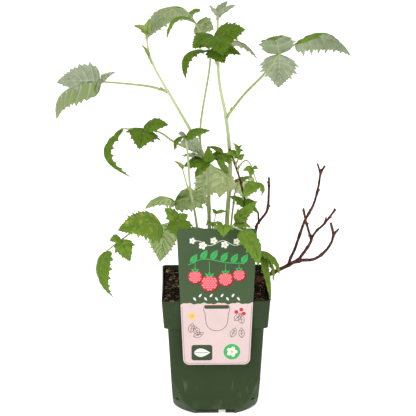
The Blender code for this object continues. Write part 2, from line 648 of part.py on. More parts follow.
def make_limb(limb, limbs, collection):
    """One tapering cane or branch with its stubs, cut flat at the soil or seated on another."""
    points = [Vector(p) for p in limb.route]
    if limb.carrier:
        points[0] = seat_on(limbs[limb.carrier], points[0], points[1], limb.thick[0])
    route = smooth_route(points)
    limbs[limb.name] = (route, limb.thick)
    obj = make_tube(limb.name, route, limb.thick, LIMB_RINGS, collection)
    if limb.carrier is None:
        cut_at_soil(obj)
    stubs = []
    for foot, tip, radius in limb.spurs:
        stub_route = [Vector(foot), Vector(tip)]
        stubs.append(make_tube(f"{limb.name}_stub", stub_route, (radius, radius * 0.9),
                               STALK_RINGS, collection))
    return combine(obj, stubs, "UNION", collection) if stubs else obj


def blade_outline(t):
    """Half the width of a leaflet at t along it: round at the base, drawn out at the tip."""
    widest = BASE_FULLNESS / (BASE_FULLNESS + TIP_TAPER)
    peak = widest ** BASE_FULLNESS * (1 - widest) ** TIP_TAPER
    return t ** BASE_FULLNESS * (1 - t) ** TIP_TAPER / peak


def blade_frame(blade, root):
    """The leaflet's length and its forward, side and upward directions."""
    line = Vector(blade.tip) - root
    forward = line.normalized()
    hint = Vector(blade.face)
    up = (hint - forward * hint.dot(forward)).normalized()
    return line.length, forward, forward.cross(up), up


def blade_point(blade, root, t, across):
    """A point of the leaflet: t from root to tip, across from -1 to 1 over its width."""
    length, forward, side, up = blade_frame(blade, root)
    rib = root + forward * length * t + up * length * blade.bow * 4 * t * (1 - t)
    run = (forward + up * blade.bow * 4 * (1 - 2 * t)).normalized()
    above = side.cross(run)
    turn = Matrix.Rotation(math.radians(blade.twist) * t, 3, run)
    half = max(blade.width / 2 * blade_outline(t), ROOT_SINK)
    fold = math.radians(blade.fold)
    offset = side * across * math.cos(fold) + above * abs(across) * math.sin(fold)
    return rib + turn @ offset * half


def make_blade(name, blade, root, collection):
    """One leaflet: a bowed and folded sheet, thickened to both sides."""
    length = (Vector(blade.tip) - root).length
    stations = min(6, max(3, round(length / BLADE_STEP)))
    bm = bmesh.new()
    rows = []
    for i in range(stations + 1):
        t = 0.5 * (1 - math.cos(math.pi * i / stations))
        rows.append([bm.verts.new(blade_point(blade, root, t, across) * MM)
                     for across in (-1, 0, 1)])
    for lower, upper in zip(rows, rows[1:]):
        for j in range(2):
            bm.faces.new((lower[j], lower[j + 1], upper[j + 1], upper[j]))
    sheet = object_from_bmesh(name, bm, collection)
    shell = sheet.modifiers.new("thickness", "SOLIDIFY")
    shell.thickness = max(BLADE_THINNEST, BLADE_THICKNESS * length) * MM
    shell.offset = 0.0
    return baked(sheet, collection)


def make_leaf(leaf, limbs, collection):
    """One compound leaf: a stalk seated on its limb, with its leaflets fused to it."""
    points = [Vector(p) for p in leaf.stalk]
    points[0] = seat_on(limbs[leaf.carrier], points[0], points[1], leaf.thick[0])
    route = smooth_route(points)
    stalk = make_tube(leaf.name, route, leaf.thick, STALK_RINGS, collection)
    blades = [make_blade(f"{leaf.name}_{i}", blade, place_on(route, blade.along), collection)
              for i, blade in enumerate(leaf.blades)]
    return combine(stalk, blades, "UNION", collection)


def finish(obj, material, smooth=True):
    obj.data.materials.clear()
    obj.data.materials.append(material)
    if smooth:
        obj.data.shade_smooth()
        obj.data.set_sharp_from_angle(angle=math.radians(40))


def main():
    clear_scene()
    materials = {name: make_material(name) for name in COLOURS}
    collection = make_collection(NAME)
    finish(make_pot(collection), materials["pot_green"])
    finish(make_soil(collection), materials["peat"])
    finish(make_card(collection), materials["card_green"], smooth=False)
    limbs = {}
    for limb in LIMBS:
        finish(make_limb(limb, limbs, collection), materials[limb.colour])
    for leaf in LEAVES:
        finish(make_leaf(leaf, limbs, collection), materials[leaf.colour])


main()
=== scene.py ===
"""A raspberry plant in a square nursery pot, with the finish of every surface.

Run it with: blender --background --python scene.py

The origin is on the ground under the middle of the pot. X runs to the right, Y away
from the card, Z up. Sizes below are in millimetres, and meshes are made in metres.
"""

import math
import random
from collections import namedtuple

import bmesh
import bpy
from bpy.props import FloatProperty, FloatVectorProperty, IntProperty, PointerProperty
from bpy.types import Operator, Panel, PropertyGroup
from mathutils import Matrix, Vector, noise


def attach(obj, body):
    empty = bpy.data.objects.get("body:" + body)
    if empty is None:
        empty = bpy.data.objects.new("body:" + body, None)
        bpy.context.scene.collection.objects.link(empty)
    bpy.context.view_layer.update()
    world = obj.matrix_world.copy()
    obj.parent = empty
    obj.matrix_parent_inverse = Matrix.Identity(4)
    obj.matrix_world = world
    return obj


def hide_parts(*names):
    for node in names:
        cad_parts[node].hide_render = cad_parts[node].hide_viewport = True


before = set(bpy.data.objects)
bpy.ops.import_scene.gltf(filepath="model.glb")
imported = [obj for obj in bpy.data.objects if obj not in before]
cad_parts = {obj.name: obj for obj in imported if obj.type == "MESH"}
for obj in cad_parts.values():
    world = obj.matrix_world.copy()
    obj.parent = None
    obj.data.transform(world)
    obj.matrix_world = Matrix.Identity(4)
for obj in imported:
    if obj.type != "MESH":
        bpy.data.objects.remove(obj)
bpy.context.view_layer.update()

bl_info = {
    "name": "Raspberry plant in a pot",
    "version": (1, 0, 0),
    "blender": (4, 5, 0),
    "location": "3D View > Sidebar > Raspberry",
    "description": "Builds a potted raspberry plant with its canes, leaves, soil and card",
    "category": "Add Mesh",
}

MM = 0.001

# Pot. A half is half of a width, and here and below an edge that turns by more degrees than the
# sharp value is shaded as a sharp one.
POT_HEIGHT = 152.0
RIM_HALF = 65.0
COLLAR_HEIGHT = 36.0
SHOULDER_LEVEL = POT_HEIGHT - COLLAR_HEIGHT
COLLAR_FOOT_HALF = 62.6
SHOULDER_HALF = 58.0
BASE_HALF = 51.8
WALL = 1.6
CORNER_RADIUS = 5.0
CORNER_STEPS = 14
SIDE_STEPS = 12
SKIRT_HEIGHT = 16.0
CONE_TOP = 47.0
CONE_AT_GROUND = 55.5
CONE_AT_SKIRT = 65.0
FLOOR_UNDERSIDE = 7.0
FLOOR_THICK = 1.6
FOOT_THICK = 2.4
NOTCH_WIDTH = 46.0
NOTCH_HEIGHT = 5.5
PAD_RADIUS = 12.0
DRAIN_WIDTH = 5.4
DRAIN_HEIGHT = 2.2
DRAIN_LEVEL = 17.3
DRAIN_HEADING = 46.0
CUTTER_EXCESS = 4
LIP_ROUND = 0.7
COLLAR_ROUND = 1.1
WALL_BOW = 0.5
PAD_ROUND = 0.6
PAD_FLARE = 1.0
POT_SHARP = 38

# Stepped ribs behind the notches: how far they stand behind the feet's inner face, the depth and
# height of the lower step, the whole depth, how far they run into the floor, and where each run
# starts and ends along a side
RIB_SETBACK = 0.6
RIB_LEDGE = 1.6
RIB_STEP = 3.2
RIB_DEPTH = 3.0
RIB_OVERLAP = 0.4
RIB_RUNS = ((-26.0, 3.5), (12.0, 26.0))

# Soil
SOIL_TOP = 148.0
SOIL_DEPTH = 26.0
SOIL_CELLS = 110
SOIL_GAP = 0.3
LUMP_HEIGHT = 3.4
CRUMB_COUNT = 1500
CRUMB_SIZES = (1.2, 1.6, 2.2, 2.2, 3.2, 4.4)
CRUMB_WEIGHTS = (7, 4, 1)
FIBRE_COUNT = 420
# The fibre that curls over the rim: its x and y, its heading, its length and its lift
RIM_FIBRE = (-60.0, -57.0, 3.6, 8.0, 5.0)

# Card
CARD_TOP = 244.0
CARD_FOOT = 71.0
CARD_TOP_WIDTH = 94.0
CARD_FOOT_WIDTH = 81.0
CARD_CENTRE = 0.7
CARD_THICK = 0.8
CARD_BACK = -65.3
CARD_FRONT = CARD_BACK - CARD_THICK
CARD_TOP_CORNER = 6.0
CARD_FOOT_CORNER = 8.0
CARD_EDGE_ROUND = 0.25
TAB_WIDTH = 30.0
TAB_THICK = 0.6
TAB_DROP = 3.0
TAB_CLEARANCE = 0.3
CARD_SHARP = 30
FIELD_LEVEL = 150.0

# Print on the card: the thickness of one layer of ink, the inks in the order of the print's
# materials, and two tints as they look on a screen, 0 to 255. Motifs are placed by x and z, and
# some have a radius or a heading in degrees as well.
INK = 0.05
# SLOT also inks the painted shade in the tongue's slot, and WINE the painted shadow along the slot's
# top.
DARK, RED, GREEN, WHITE, LINE, WINE, ROSE, YELLOW, SLOT, BLUSH = range(10)
ROSE_TINT = (236, 128, 138)
YELLOW_TINT = (226, 178, 56)
BERRIES = ((-25, 184, 8.5), (-8, 176, 10.5), (11, 181, 9.0), (27, 186, 7.5))
BLOSSOMS = ((-28, 229, 4.0), (-16, 223, 5.0), (-3, 229, 4.4), (10, 224, 4.8), (24, 228, 4.2))
DRAWN_LEAVES = ((22, 128, 50), (31, 124, 100), (-31, 113, 75), (-21, 110, 115), (18, 107, 65),
                (31, 106, 95), (-27, 108, 20))
DRAWN_LEAF_LENGTH = 13
RED_DOTS = ((30, 142), (24, 139), (33, 137))
SUN = (-29, 134)
LEAF_PANEL = (-17, 87)
BLOSSOM_PANEL = (19, 88)
BAND_LEVEL = 158
TONGUE_FLANK = ((15.0, 146.5), (15.6, 141.0), (14.2, 138.0), (13.2, 129.0))

# Limbs: the spacing of the points along them, how many times as thick the green ones are here as
# the CAD solids, and the finishes, places and sizes of what grows on them
ROUTE_STEP = 2.5
STALK_STEP = 3.0
CANE_FULLNESS = 1.15
STALK_FULLNESS = 1.2
PRICKLE_LENGTHS = (0.5, 1.0)
BARK, CUT = range(2)
BARK_SHARP = 60
BUD_SHARES = (0.3, 0.52, 0.74, 0.93)
BUD_LENGTH = 2.6
BUD_REACH = 1.5
BUD_GIRTH = 0.95

# Heights in metres between which a cane turns pale, partly with painted highlight, and the thin old
# cane dark
CANE_FADE = (0.19, 0.39)
BARK_CHANGE = (0.236, 0.256)

# Leaflets: the two exponents of their outline, the least half width, the spacing of the side
# veins and how far forward they run, as a share of the leaflet's length
BASE_FULLNESS = 0.38
TIP_TAPER = 0.95
LEAST_HALF = 0.4
VEIN_SPACING = 7.2
LEAST_VEIN_PAIRS = 3
MOST_VEIN_PAIRS = 9
VEIN_SWEEP = 0.25
LEAF_THICK = 0.3
UPPER, UNDER, PATCHED = range(3)

# Relief of a leaflet. Arch and wave are shares of half its width, the range is a factor on the
# depth of its teeth, and a small tooth is a share of a large one. The rest is in millimetres.
BLADE_ARCH = 0.22
EDGE_WAVE = 0.09
WAVES_ALONG = 1.4
TOOTH_LEAN = 0.3
TOOTH_RANGE = (0.65, 1.35)
SMALL_TOOTH = 0.55
RUMPLE = 0.5
RUMPLE_SIZE = 11.0
MIDRIB_RISE = 0.55
VEIN_RISE = 0.2

# Stalks and the slips at their feet
STALK_FLARE = 0.7
FLARE_LENGTH = 4.5
SLIP_LENGTH = 7.5
SLIP_SPREAD = 3.0
SLIP_WIDTH = 1.8
LEAST_STALK_WITH_SLIPS = 20

# What the light does to leaves: the shares of red, green and blue in an olive that shaded ones
# lean to, and how far single leaflets lean, by their leaf's name and their place in it
OLIVE_SHADE = (0.68, 0.74, 0.46)
SHADED_LEAFLETS = {("leaf_left", 1): 1.0, ("leaf_low_left", 2): 0.7, ("leaf_low_left", 7): 0.9,
                   ("leaf_dark", 3): 0.8, ("leaf_top", 2): 0.6}

# Stage, in metres and degrees, with the lens and its sensor in millimetres
LIGHT_GOAL = (0, 0, 0.22)
CAMERA_PLACE = (-0.0433, -1.9905, 0.8948)
CAMERA_ELEVATION = 18.0
CAMERA_YAW = 1.0
CAMERA_LENS = 150.0
SENSOR_WIDTH = 36.0

Limb = namedtuple("Limb", "name colour carrier route thick spurs")
Leaf = namedtuple("Leaf", "name colour tone carrier stalk thick blades")
Blade = namedtuple("Blade", "along tip width bow face fold twist", defaults=(0, 0))

# Canes that rise from the soil, and the branches they carry. A route starts in the soil
# or at a place on the carrier, and thick is the radius at the two ends.
LIMBS = [
    Limb("cane_left", "cane_green", None,
         [(-5, 4, 140), (-7, 3, 229), (-9, 0, 293), (-19, -4, 326), (-43, -8, 372),
          (-67, -12, 416), (-77, -15, 440), (-80, -16, 461)], (2.3, 1.0), []),
    Limb("cane_right", "cane_green", None,
         [(14, -3, 140), (14.5, 0, 227), (18, 2, 285), (17, 4, 322), (12.7, 7, 361),
          (5.2, 9, 400), (3, 11, 440), (3, 12, 477)], (2.8, 1.1), []),
    Limb("shoot_left", "cane_green", None,
         [(-16, -14, 140), (-22, -20, 229), (-30, -34, 283), (-33, -41, 326),
          (-35, -43, 345)], (1.4, 1.0), []),
    Limb("shoot_right", "cane_green", None,
         [(16, 12, 140), (20, 14, 220), (23, 16, 249)], (1.2, 1.0), []),
    Limb("shoot_low", "cane_green", None,
         [(-22, -4, 140), (-30, -12, 190), (-40, -20, 230)], (1.6, 1.3), []),
    Limb("old_cane_thin", "old_wood", None,
         [(30, 8, 140), (37, 10, 219), (37, 9, 248), (34, 5, 266), (28, 1, 290),
          (22, -3, 308), (17, -6, 324)], (1.6, 1.1), []),
    Limb("old_cane_short", "old_wood", None,
         [(40, 14, 140), (50, 20, 210), (54, 20, 223), (64, 22, 237), (66, 24, 258),
          (66, 24, 279)], (2.1, 1.3), [((54, 20, 221), (53, 18, 235), 1.2)]),
    Limb("old_limb_low", "old_wood", None,
         [(32, -4, 142), (47, 0, 150), (64, 4, 159), (84, 9, 167.5), (102, 14, 174.5),
          (122, 22, 173.5), (136, 30, 180), (145, 37, 190), (148, 40, 199), (154, 40, 207)],
         (2.9, 1.4), [((148, 40, 199), (144, 40, 215), 1.6)]),
    Limb("old_branch_tall", "old_wood", "old_limb_low",
         [(90, 11, 169.5), (93, 14, 178), (98, 18, 187), (104, 24, 203), (111, 28, 222),
          (121, 32, 240), (127, 36, 260), (130, 38, 279), (135, 38, 289)],
         (1.9, 1.3), [((130, 38, 278), (126, 38, 292), 1.1)]),
    Limb("old_branch_middle", "old_wood", "old_limb_low",
         [(103, 14, 174.5), (106, 11, 182), (111, 7, 191), (117, 0, 206), (114, -3, 217),
          (109, -8, 235), (106, -10, 250)], (2.0, 1.2), []),
    Limb("old_branch_side", "old_wood", "old_branch_middle",
         [(116, -1, 209), (123, -5, 220), (132, -8, 230), (145, -10, 249)],
         (1.5, 1.1), [((132, -8, 230), (134, -8, 238), 1.0)]),
]

# Directions that the upper side of a leaflet can look in
SKY = (0, 0, 1)
VIEWER = (0, -0.6, 0.8)
LOW_VIEWER = (0, -0.85, 0.5)
AWAY = (0.1, 1, 0.35)
AWAY_UP = (0.1, 0.55, 0.85)
LEFT = (-1, -0.2, 0.3)
LEFT_UP = (-0.5, -0.2, 0.85)
RIGHT_UP = (0.4, -0.2, 0.9)

# Compound leaves. Tone names the greens of the two sides. Along is where on the stalk a
# leaflet is rooted, tip where it ends, bow how far its midrib arches over the straight line,
# fold how far its edges rise and twist how far it turns, both in degrees.
LEAVES = [
    Leaf("leaf_left", "leaf_pale", "silver", "cane_left",
         [(-57, -10, 396), (-77, 4, 398), (-100, 20, 397), (-138, 42, 395)], (1.2, 0.8), [
             Blade(0.99, (-189, 30, 397), 38, 0.05, (0, 1, 0.3), 18),
             Blade(0.97, (-194, 84, 337), 39, -0.25, (0.79, 0.31, -0.54), 44),
             Blade(0.94, (-119, 30, 409), 14, 0.05, (-0.5, 0.6, 0.6), 30),
             Blade(0.95, (-141, 20, 385), 13, 0.08, LEFT, 30)]),
    Leaf("leaf_right", "leaf_pale", "silver", "cane_right",
         [(12.6, 7, 358), (34, 12, 385), (59, 27, 407), (79, 42, 429), (98, 52, 438)],
         (1.4, 1.0), [
             Blade(0.80, (78, 60, 382), 43, 0.10, (0.15, 0.95, 0.33), -20),
             Blade(0.80, (70, 15, 450), 40, 0.35, (0, 0.8, 0.6), -8),
             Blade(0.99, (166, 66, 420), 50, 0.28, (0.1, 0.68, 0.73), -30)]),
    Leaf("leaf_top", "leaf_pale", "dusk", "cane_left",
         [(-18, -4, 324), (-17.5, 0, 349), (-15, 4, 369), (-5.5, 20, 430), (-16, 32, 455),
          (-28, 42, 474), (-38, 50, 483)], (1.1, 0.8), [
             Blade(0.99, (-80, 72, 442), 45, 0.20, (-0.45, 0.75, 0.4), -15),
             Blade(0.94, (-17, 58, 479), 25, 0.10, (0, 0.7, 0.7), -35),
             Blade(0.85, (-1, 46, 457), 27, 0.10, (0.2, 0.95, 0.2), -10),
             Blade(0.86, (-57, 22, 451), 16, 0.33, LEFT_UP, 10)]),
    Leaf("leaf_dark", "leaf_green", "deep", "cane_right",
         [(3, 10, 423), (-2, -6, 437), (-4, -16, 451), (-2, -26, 465)], (1.0, 0.8), [
             Blade(0.99, (-27, -48, 456), 32, 0.12, VIEWER, -15),
             Blade(0.97, (6, -78, 455), 46, 0.14, (0, -0.4, 0.9), -12),
             Blade(0.98, (33, -52, 478), 31, 0.03, (0, -0.75, 0.65), -15),
             Blade(0.62, (10, -34, 435), 26, 0.10, VIEWER, -10),
             Blade(0.58, (29, -30, 444), 20, 0.12, VIEWER, -10),
             Blade(0.52, (50, -12, 433), 18, 0.30, (0.2, 0.6, 0.8), -10),
             Blade(0.50, (-35, -34, 417), 22, 0.36, (-0.7, 0, 0.7), -10, -40)]),
    Leaf("leaf_middle_left", "leaf_green", "deep", "cane_left",
         [(-16, -3, 315), (-33, -10, 326), (-51, -20, 338), (-69, -32, 353),
          (-102, -50, 361), (-110, -56, 363)], (1.2, 0.7), [
             Blade(0.73, (-89, -76, 344), 34, 0.14, LOW_VIEWER, -10),
             Blade(0.75, (-55, -56, 367), 24, 0.15, VIEWER, -12),
             Blade(0.98, (-99, -84, 313), 23, 0.45, (-1, -0.35, 0.3), -25)]),
    Leaf("leaf_shoot_top", "leaf_green", "deep", "shoot_left",
         [(-35, -43, 345), (-35, -44, 349)], (0.9, 0.8), [
             Blade(0.8, (-7, -56, 360), 15, 0.14, VIEWER, -12),
             Blade(0.7, (-20, -26, 325), 21, 0.12, (0.1, 1, 0.3), -15),
             Blade(0.7, (-48, -60, 337), 13, 0.30, LEFT_UP, -15),
             Blade(0.8, (-44, -30, 350), 12, 0.12, AWAY, -20)]),
    Leaf("leaf_bridge", "leaf_green", "deep", "cane_right",
         [(18, 2, 282), (3, -12, 299), (-10, -21, 312)], (1.5, 1.0), [
             Blade(0.98, (-40, -28, 322), 27, 0.15, AWAY_UP, -10),
             Blade(0.99, (-38, -25, 308), 19, 0.15, VIEWER, -15),
             Blade(0.96, (-24, -34, 297), 19, 0.12, (-0.6, -0.3, 0.5), -15),
             Blade(0.95, (-9, -30, 335), 14, 0.15, VIEWER, -10)]),
    Leaf("leaf_back_left", "leaf_pale", "lit", "cane_right",
         [(18, 2, 270), (14, 16, 281), (9, 30, 286)], (1.2, 0.9), [
             Blade(0.99, (-22, 60, 243), 45, 0.08, AWAY, -6),
             Blade(0.85, (6, 38, 249), 28, 0.04, AWAY, -6),
             Blade(0.97, (3, 64, 290), 26, 0.15, AWAY, -8)]),
    Leaf("leaf_back_right", "leaf_pale", "lit", "shoot_right",
         [(23, 16, 249), (25, 21, 262), (30, 32, 272)], (0.9, 0.8), [
             Blade(0.97, (40, 64, 236), 26, 0.10, AWAY, -8),
             Blade(0.95, (50, 60, 262), 20, 0.15, AWAY_UP, -10)]),
    Leaf("leaf_inner", "leaf_pale", "young", "cane_left",
         [(-7, 3, 246), (-13, -6, 266), (-16, -12, 287), (-18, -16, 296)], (1.1, 0.8), [
             Blade(0.97, (-22, -19, 304), 6, 0.10, LEFT_UP),
             Blade(0.98, (-14, -18, 305), 6, 0.10, VIEWER)]),
    Leaf("leaf_low_back", "leaf_pale", "sage", "shoot_low",
         [(-38, -18, 222), (-54, 0, 231), (-56, 18, 240), (-48, 34, 246)], (1.0, 0.8), [
             Blade(0.98, (-5, 46, 242), 36, 0.10, AWAY, -10),
             Blade(0.94, (-13, 70, 224), 28, 0.15, AWAY, -10),
             Blade(0.97, (-86, 62, 227), 23, 0.15, (0.1, 0.8, 0.6), -15)]),
    Leaf("leaf_low_left", "leaf_green", "bright", "shoot_low",
         [(-40, -20, 230), (-45, -28, 241), (-65, -38, 239), (-90, -50, 240),
          (-112, -62, 229), (-130, -70, 217)], (1.2, 0.7), [
             Blade(0.14, (-61, -28, 257), 17, 0.10, VIEWER, -12),
             Blade(0.13, (-33, -24, 248), 16, 0.10, VIEWER, -12),
             Blade(0.12, (-41, -60, 227), 30, 0.15, LOW_VIEWER, -12),
             Blade(0.32, (-115, -74, 245), 42, 0.12, (0, -0.7, 0.7), -10),
             Blade(0.30, (-67, -8, 182), 38, 0.10, AWAY, -12),
             Blade(0.80, (-125, -70, 231), 16, 0.15, VIEWER, -12),
             Blade(0.80, (-101, -84, 210), 22, 0.12, LOW_VIEWER, -12),
             Blade(0.98, (-121, -92, 168), 30, 0.27, (-0.7, -0.7, 0.3), -12, 25)]),
    Leaf("sprig_left", "leaf_green", "deep", "old_cane_thin",
         [(22, -3, 308), (15, -8, 318), (9, -12, 320)], (0.8, 0.6), [
             Blade(0.97, (-10, -16, 329), 7, 0.15, VIEWER),
             Blade(0.96, (4, -24, 308), 15, 0.15, LOW_VIEWER, -12),
             Blade(0.90, (17, -20, 309), 13, 0.15, LOW_VIEWER, -12),
             Blade(0.98, (-8, -14, 311), 11, 0.15, VIEWER, -12)]),
    Leaf("sprig_top", "leaf_green", "bright", "old_cane_thin",
         [(24, -2, 301), (27, -6, 311), (28, -8, 322)], (0.9, 0.6), [
             Blade(0.70, (12, -20, 321), 12, 0.10, VIEWER),
             Blade(0.72, (23, -14, 329), 11, 0.10, VIEWER),
             Blade(0.70, (31, -18, 313), 13, 0.12, VIEWER),
             Blade(0.97, (20, -12, 333), 5, 0.15, VIEWER),
             Blade(0.98, (32, -14, 331), 5, 0.15, VIEWER),
             Blade(0.97, (34, -6, 322), 4, 0.20, VIEWER)]),
    Leaf("sprig_right", "leaf_green", "bright", "old_cane_thin",
         [(27, 0, 294), (32, -4, 306), (38, -5, 309), (43, -7, 303), (46, -9, 294),
          (50, -12, 282)], (0.8, 0.6), [
             Blade(0.62, (51, -14, 301), 7, 0.15, VIEWER),
             Blade(0.64, (33, -10, 298), 9, 0.15, VIEWER),
             Blade(0.66, (41, -16, 291), 7, 0.15, VIEWER),
             Blade(0.97, (55, -14, 267), 13, 0.28, RIGHT_UP, -10),
             Blade(0.98, (32, -26, 269), 17, 0.14, VIEWER, -12)]),
    Leaf("sprig_low", "leaf_green", "deep", "old_cane_thin",
         [(37, 9, 248), (36, 1, 252), (35, -4, 252)], (0.8, 0.6), [
             Blade(0.96, (17, -12, 266), 13, 0.12, VIEWER, -12),
             Blade(0.97, (53, -12, 244), 9, 0.20, VIEWER, -10),
             Blade(0.98, (47, -12, 260), 12, 0.15, VIEWER, -10)]),
    Leaf("leaf_front", "leaf_green", "bright", "cane_right",
         [(14, -1, 196), (13, -26, 216), (8, -56, 240), (11, -66, 249), (22, -72, 247),
          (31, -74, 244)], (1.0, 0.7), [
             Blade(0.74, (8, -85, 240), 23, 0.22, VIEWER, -10),
             Blade(0.72, (-3, -71, 253), 8, 0.10, VIEWER),
             Blade(0.98, (49, -86, 205), 27, 0.17, (0.6, -0.75, 0.35), -10)]),
    Leaf("leaf_front_right", "leaf_green", "bright", "cane_right",
         [(14, -1, 211), (19, -12, 226), (24, -23, 238)], (0.8, 0.6), [
             Blade(0.97, (50, -24, 265), 15, 0.10, (0.3, -0.7, 0.6), -12),
             Blade(0.80, (43, -28, 232), 10, 0.15, VIEWER, -10)]),
    Leaf("leaf_corner", "leaf_green", "bright", "old_cane_short",
         [(47, 18, 190), (54, 4, 198), (55, -12, 203), (53, -28, 200)], (1.0, 0.8), [
             Blade(0.97, (76, -48, 180), 16, 0.18, RIGHT_UP, -10),
             Blade(0.96, (63, -32, 176), 13, 0.12, AWAY, -10),
             Blade(0.98, (65, -69, 155), 9, 0.04, (0.6, -0.6, 0.4), 0, 50),
             Blade(0.90, (69, -38, 166), 10, 0.18, RIGHT_UP, -10)]),
    Leaf("leaf_tuft", "leaf_green", "bright", "cane_left",
         [(-7, 3, 214), (-2, -4, 228), (1, -6, 244)], (0.7, 0.5), [
             Blade(0.97, (14, -12, 247), 6, 0.12, VIEWER),
             Blade(0.98, (-4, -6, 249), 5, 0.10, VIEWER),
             Blade(0.40, (-12, -36, 237), 9, 0.15, VIEWER)]),
    Leaf("leaf_rear_right", "leaf_pale", "sage", "shoot_right",
         [(17, 13, 176), (24, 34, 196), (27, 56, 200)], (1.0, 0.8), [
             Blade(0.98, (30, 108, 168), 36, 0.14, SKY, -12),
             Blade(0.90, (47, 84, 174), 26, 0.14, SKY, -12),
             Blade(0.88, (3, 84, 178), 26, 0.14, SKY, -12)]),
    Leaf("leaf_rear_left", "leaf_pale", "sage", "cane_left",
         [(-6, 4, 184), (-16, 24, 202), (-26, 46, 203)], (1.0, 0.8), [
             Blade(0.98, (-36, 96, 174), 34, 0.14, SKY, -12),
             Blade(0.90, (-13, 76, 180), 24, 0.14, SKY, -12),
             Blade(0.88, (-46, 62, 184), 22, 0.14, SKY, -12)]),
    Leaf("tip_left", "leaf_green", "young", "cane_left",
         [(-80, -16, 461), (-80, -16, 466)], (0.9, 0.8), [
             Blade(0.6, (-95, -24, 477), 13, 0.12, VIEWER, 20),
             Blade(0.7, (-76, -10, 483), 9, 0.12, VIEWER, 20)]),
    Leaf("tip_right", "leaf_pale", "young", "cane_right",
         [(3, 12, 477), (3, 12, 482)], (1.0, 0.9), [
             Blade(0.6, (-7, 10, 494), 6, 0.05, AWAY, 25),
             Blade(0.7, (15, 20, 497), 12, 0.15, AWAY, 20),
             Blade(0.7, (24, 3, 495), 8, 0.12, AWAY, 30)]),
    Leaf("bud_left", "leaf_pale", "young", "cane_left",
         [(-74, -14, 428), (-78, -18, 438)], (0.7, 0.6), [
             Blade(0.97, (-86, -24, 455), 6, 0.08, VIEWER, 30)]),
    Leaf("bud_shoot", "leaf_pale", "young", "shoot_left",
         [(-30, -34, 281), (-33, -37, 285), (-36, -40, 297), (-39, -44, 310)], (0.7, 0.6), [
             Blade(0.97, (-49, -50, 322), 7, 0.08, VIEWER, 30)]),
]

# The leaflet with yellow patches, as its leaf's name and its place in that leaf
PATCHED_LEAFLET = ("leaf_low_left", 3)


def linear(red, green, blue):
    """A colour given as it looks on a screen, 0 to 255, in Blender's linear values."""
    shares = [value / 255 for value in (red, green, blue)]
    return tuple(s / 12.92 if s <= 0.04045 else ((s + 0.055) / 1.055) ** 2.4 for s in shares)


def colour_property(name, description, red, green, blue):
    return FloatVectorProperty(name=name, description=description, subtype="COLOR", size=3,
                               min=0.0, max=1.0, default=linear(red, green, blue))


def length_property(name, description, millimetres):
    return FloatProperty(name=name, description=description, default=millimetres * MM,
                         min=0.0, unit="LENGTH", precision=4)


def share_property(name, description, value):
    return FloatProperty(name=name, description=description, default=value,
                         min=0.0, max=1.0, subtype="FACTOR")


class PotSettings(PropertyGroup):
    """Sizes and colours of the pot."""

    plastic: colour_property("Plastic", "Colour of the pot's plastic", 46, 60, 34)
    stain: colour_property("Water stain", "Colour of the dried drops on the pot", 120, 132, 108)
    lip: length_property("Lip", "How far the rim's edge is rounded", LIP_ROUND)


class SoilSettings(PropertyGroup):
    """Sizes and colours of the peat."""

    peat: colour_property("Peat", "Colour of the moist peat", 27, 18, 13)
    dry: colour_property("Dry crumbs", "Colour of the dry crumbs", 68, 50, 37)
    fibre: colour_property("Fibres", "Colour of the pale fibres", 172, 146, 116)
    lumps: length_property("Lumps", "Height of the lumps in the surface", LUMP_HEIGHT)
    crumbs: IntProperty(name="Crumbs", description="Number of loose crumbs", default=CRUMB_COUNT,
                        min=0)
    fibres: IntProperty(name="Fibres", description="Number of loose fibres", default=FIBRE_COUNT,
                        min=0)


class CardSettings(PropertyGroup):
    """Colours of the card and its printed pattern."""

    field: colour_property("Upper field", "Colour of the card's upper field", 66, 84, 56)
    blush: colour_property("Lower field", "Colour of the card's lower field", 208, 186, 184)
    berry: colour_property("Berries", "Colour of the printed berries", 196, 52, 58)
    leaf: colour_property("Printed leaves", "Colour of the printed leaves", 62, 166, 88)
    white: colour_property("White", "Colour of the printed blossoms", 222, 224, 218)
    line: colour_property("Lines", "Colour of the fine drawn lines", 84, 72, 70)


class CaneSettings(PropertyGroup):
    """Sizes and colours of the green canes."""

    low: colour_property("Low stem", "Colour of a cane close to the soil", 122, 138, 72)
    # The tip colour is partly the cane's own pale colour and partly painted highlight.
    high: colour_property("High stem", "Colour of a cane near its tip", 184, 194, 146)
    ridge: share_property("Ridges", "How far the ridges stand out of a cane", 0.07)
    knuckle: share_property("Knuckles", "How far a cane swells where a leaf leaves it", 0.28)
    prickles: IntProperty(name="Prickles", description="Number of fine prickles on the canes",
                          default=520, min=0)


class WoodSettings(PropertyGroup):
    """Sizes and colours of the old wood."""

    bark: colour_property("Bark", "Colour of the old bark", 96, 58, 48)
    crack: colour_property("Cracks", "Colour in the cracks of the bark", 48, 26, 20)
    pale: colour_property("Pale bark", "Colour of the thin cane near the soil", 158, 128, 108)
    cut: colour_property("Cut wood", "Colour of the pruned ends", 168, 110, 72)
    relief: share_property("Bark relief", "How rough the bark is", 0.16)


class LeafSettings(PropertyGroup):
    """Sizes and colours of the leaves."""

    deep: colour_property("Deep green", "Upper side of the dark leaves", 86, 115, 22)
    bright: colour_property("Bright green", "Upper side of the leaves in the light", 108, 138, 46)
    young: colour_property("Young green", "Upper side of the young leaves", 140, 158, 86)
    silver: colour_property("Silver underside", "Underside of the leaves at the top", 154, 164, 138)
    sage: colour_property("Sage underside", "Underside of the low leaves", 172, 190, 132)
    # Painted light: the back leaves' underside is made paler for the light that shines through them
    # from behind.
    lit: colour_property("Lit underside", "Underside of the leaves at the back", 210, 222, 170)
    rib: colour_property("Ribs", "Colour of midribs and stalks", 164, 178, 116)
    patch: colour_property("Patches", "Yellow patches of the big low leaflet", 214, 208, 92)
    dusk: colour_property("Dull underside", "Underside of the leaf at the top", 150, 162, 122)
    tooth: share_property("Teeth", "Depth of the teeth against half the leaflet's width", 0.35)
    pleat: share_property("Pleats", "Height of the pleats against the veins' spacing", 0.3)


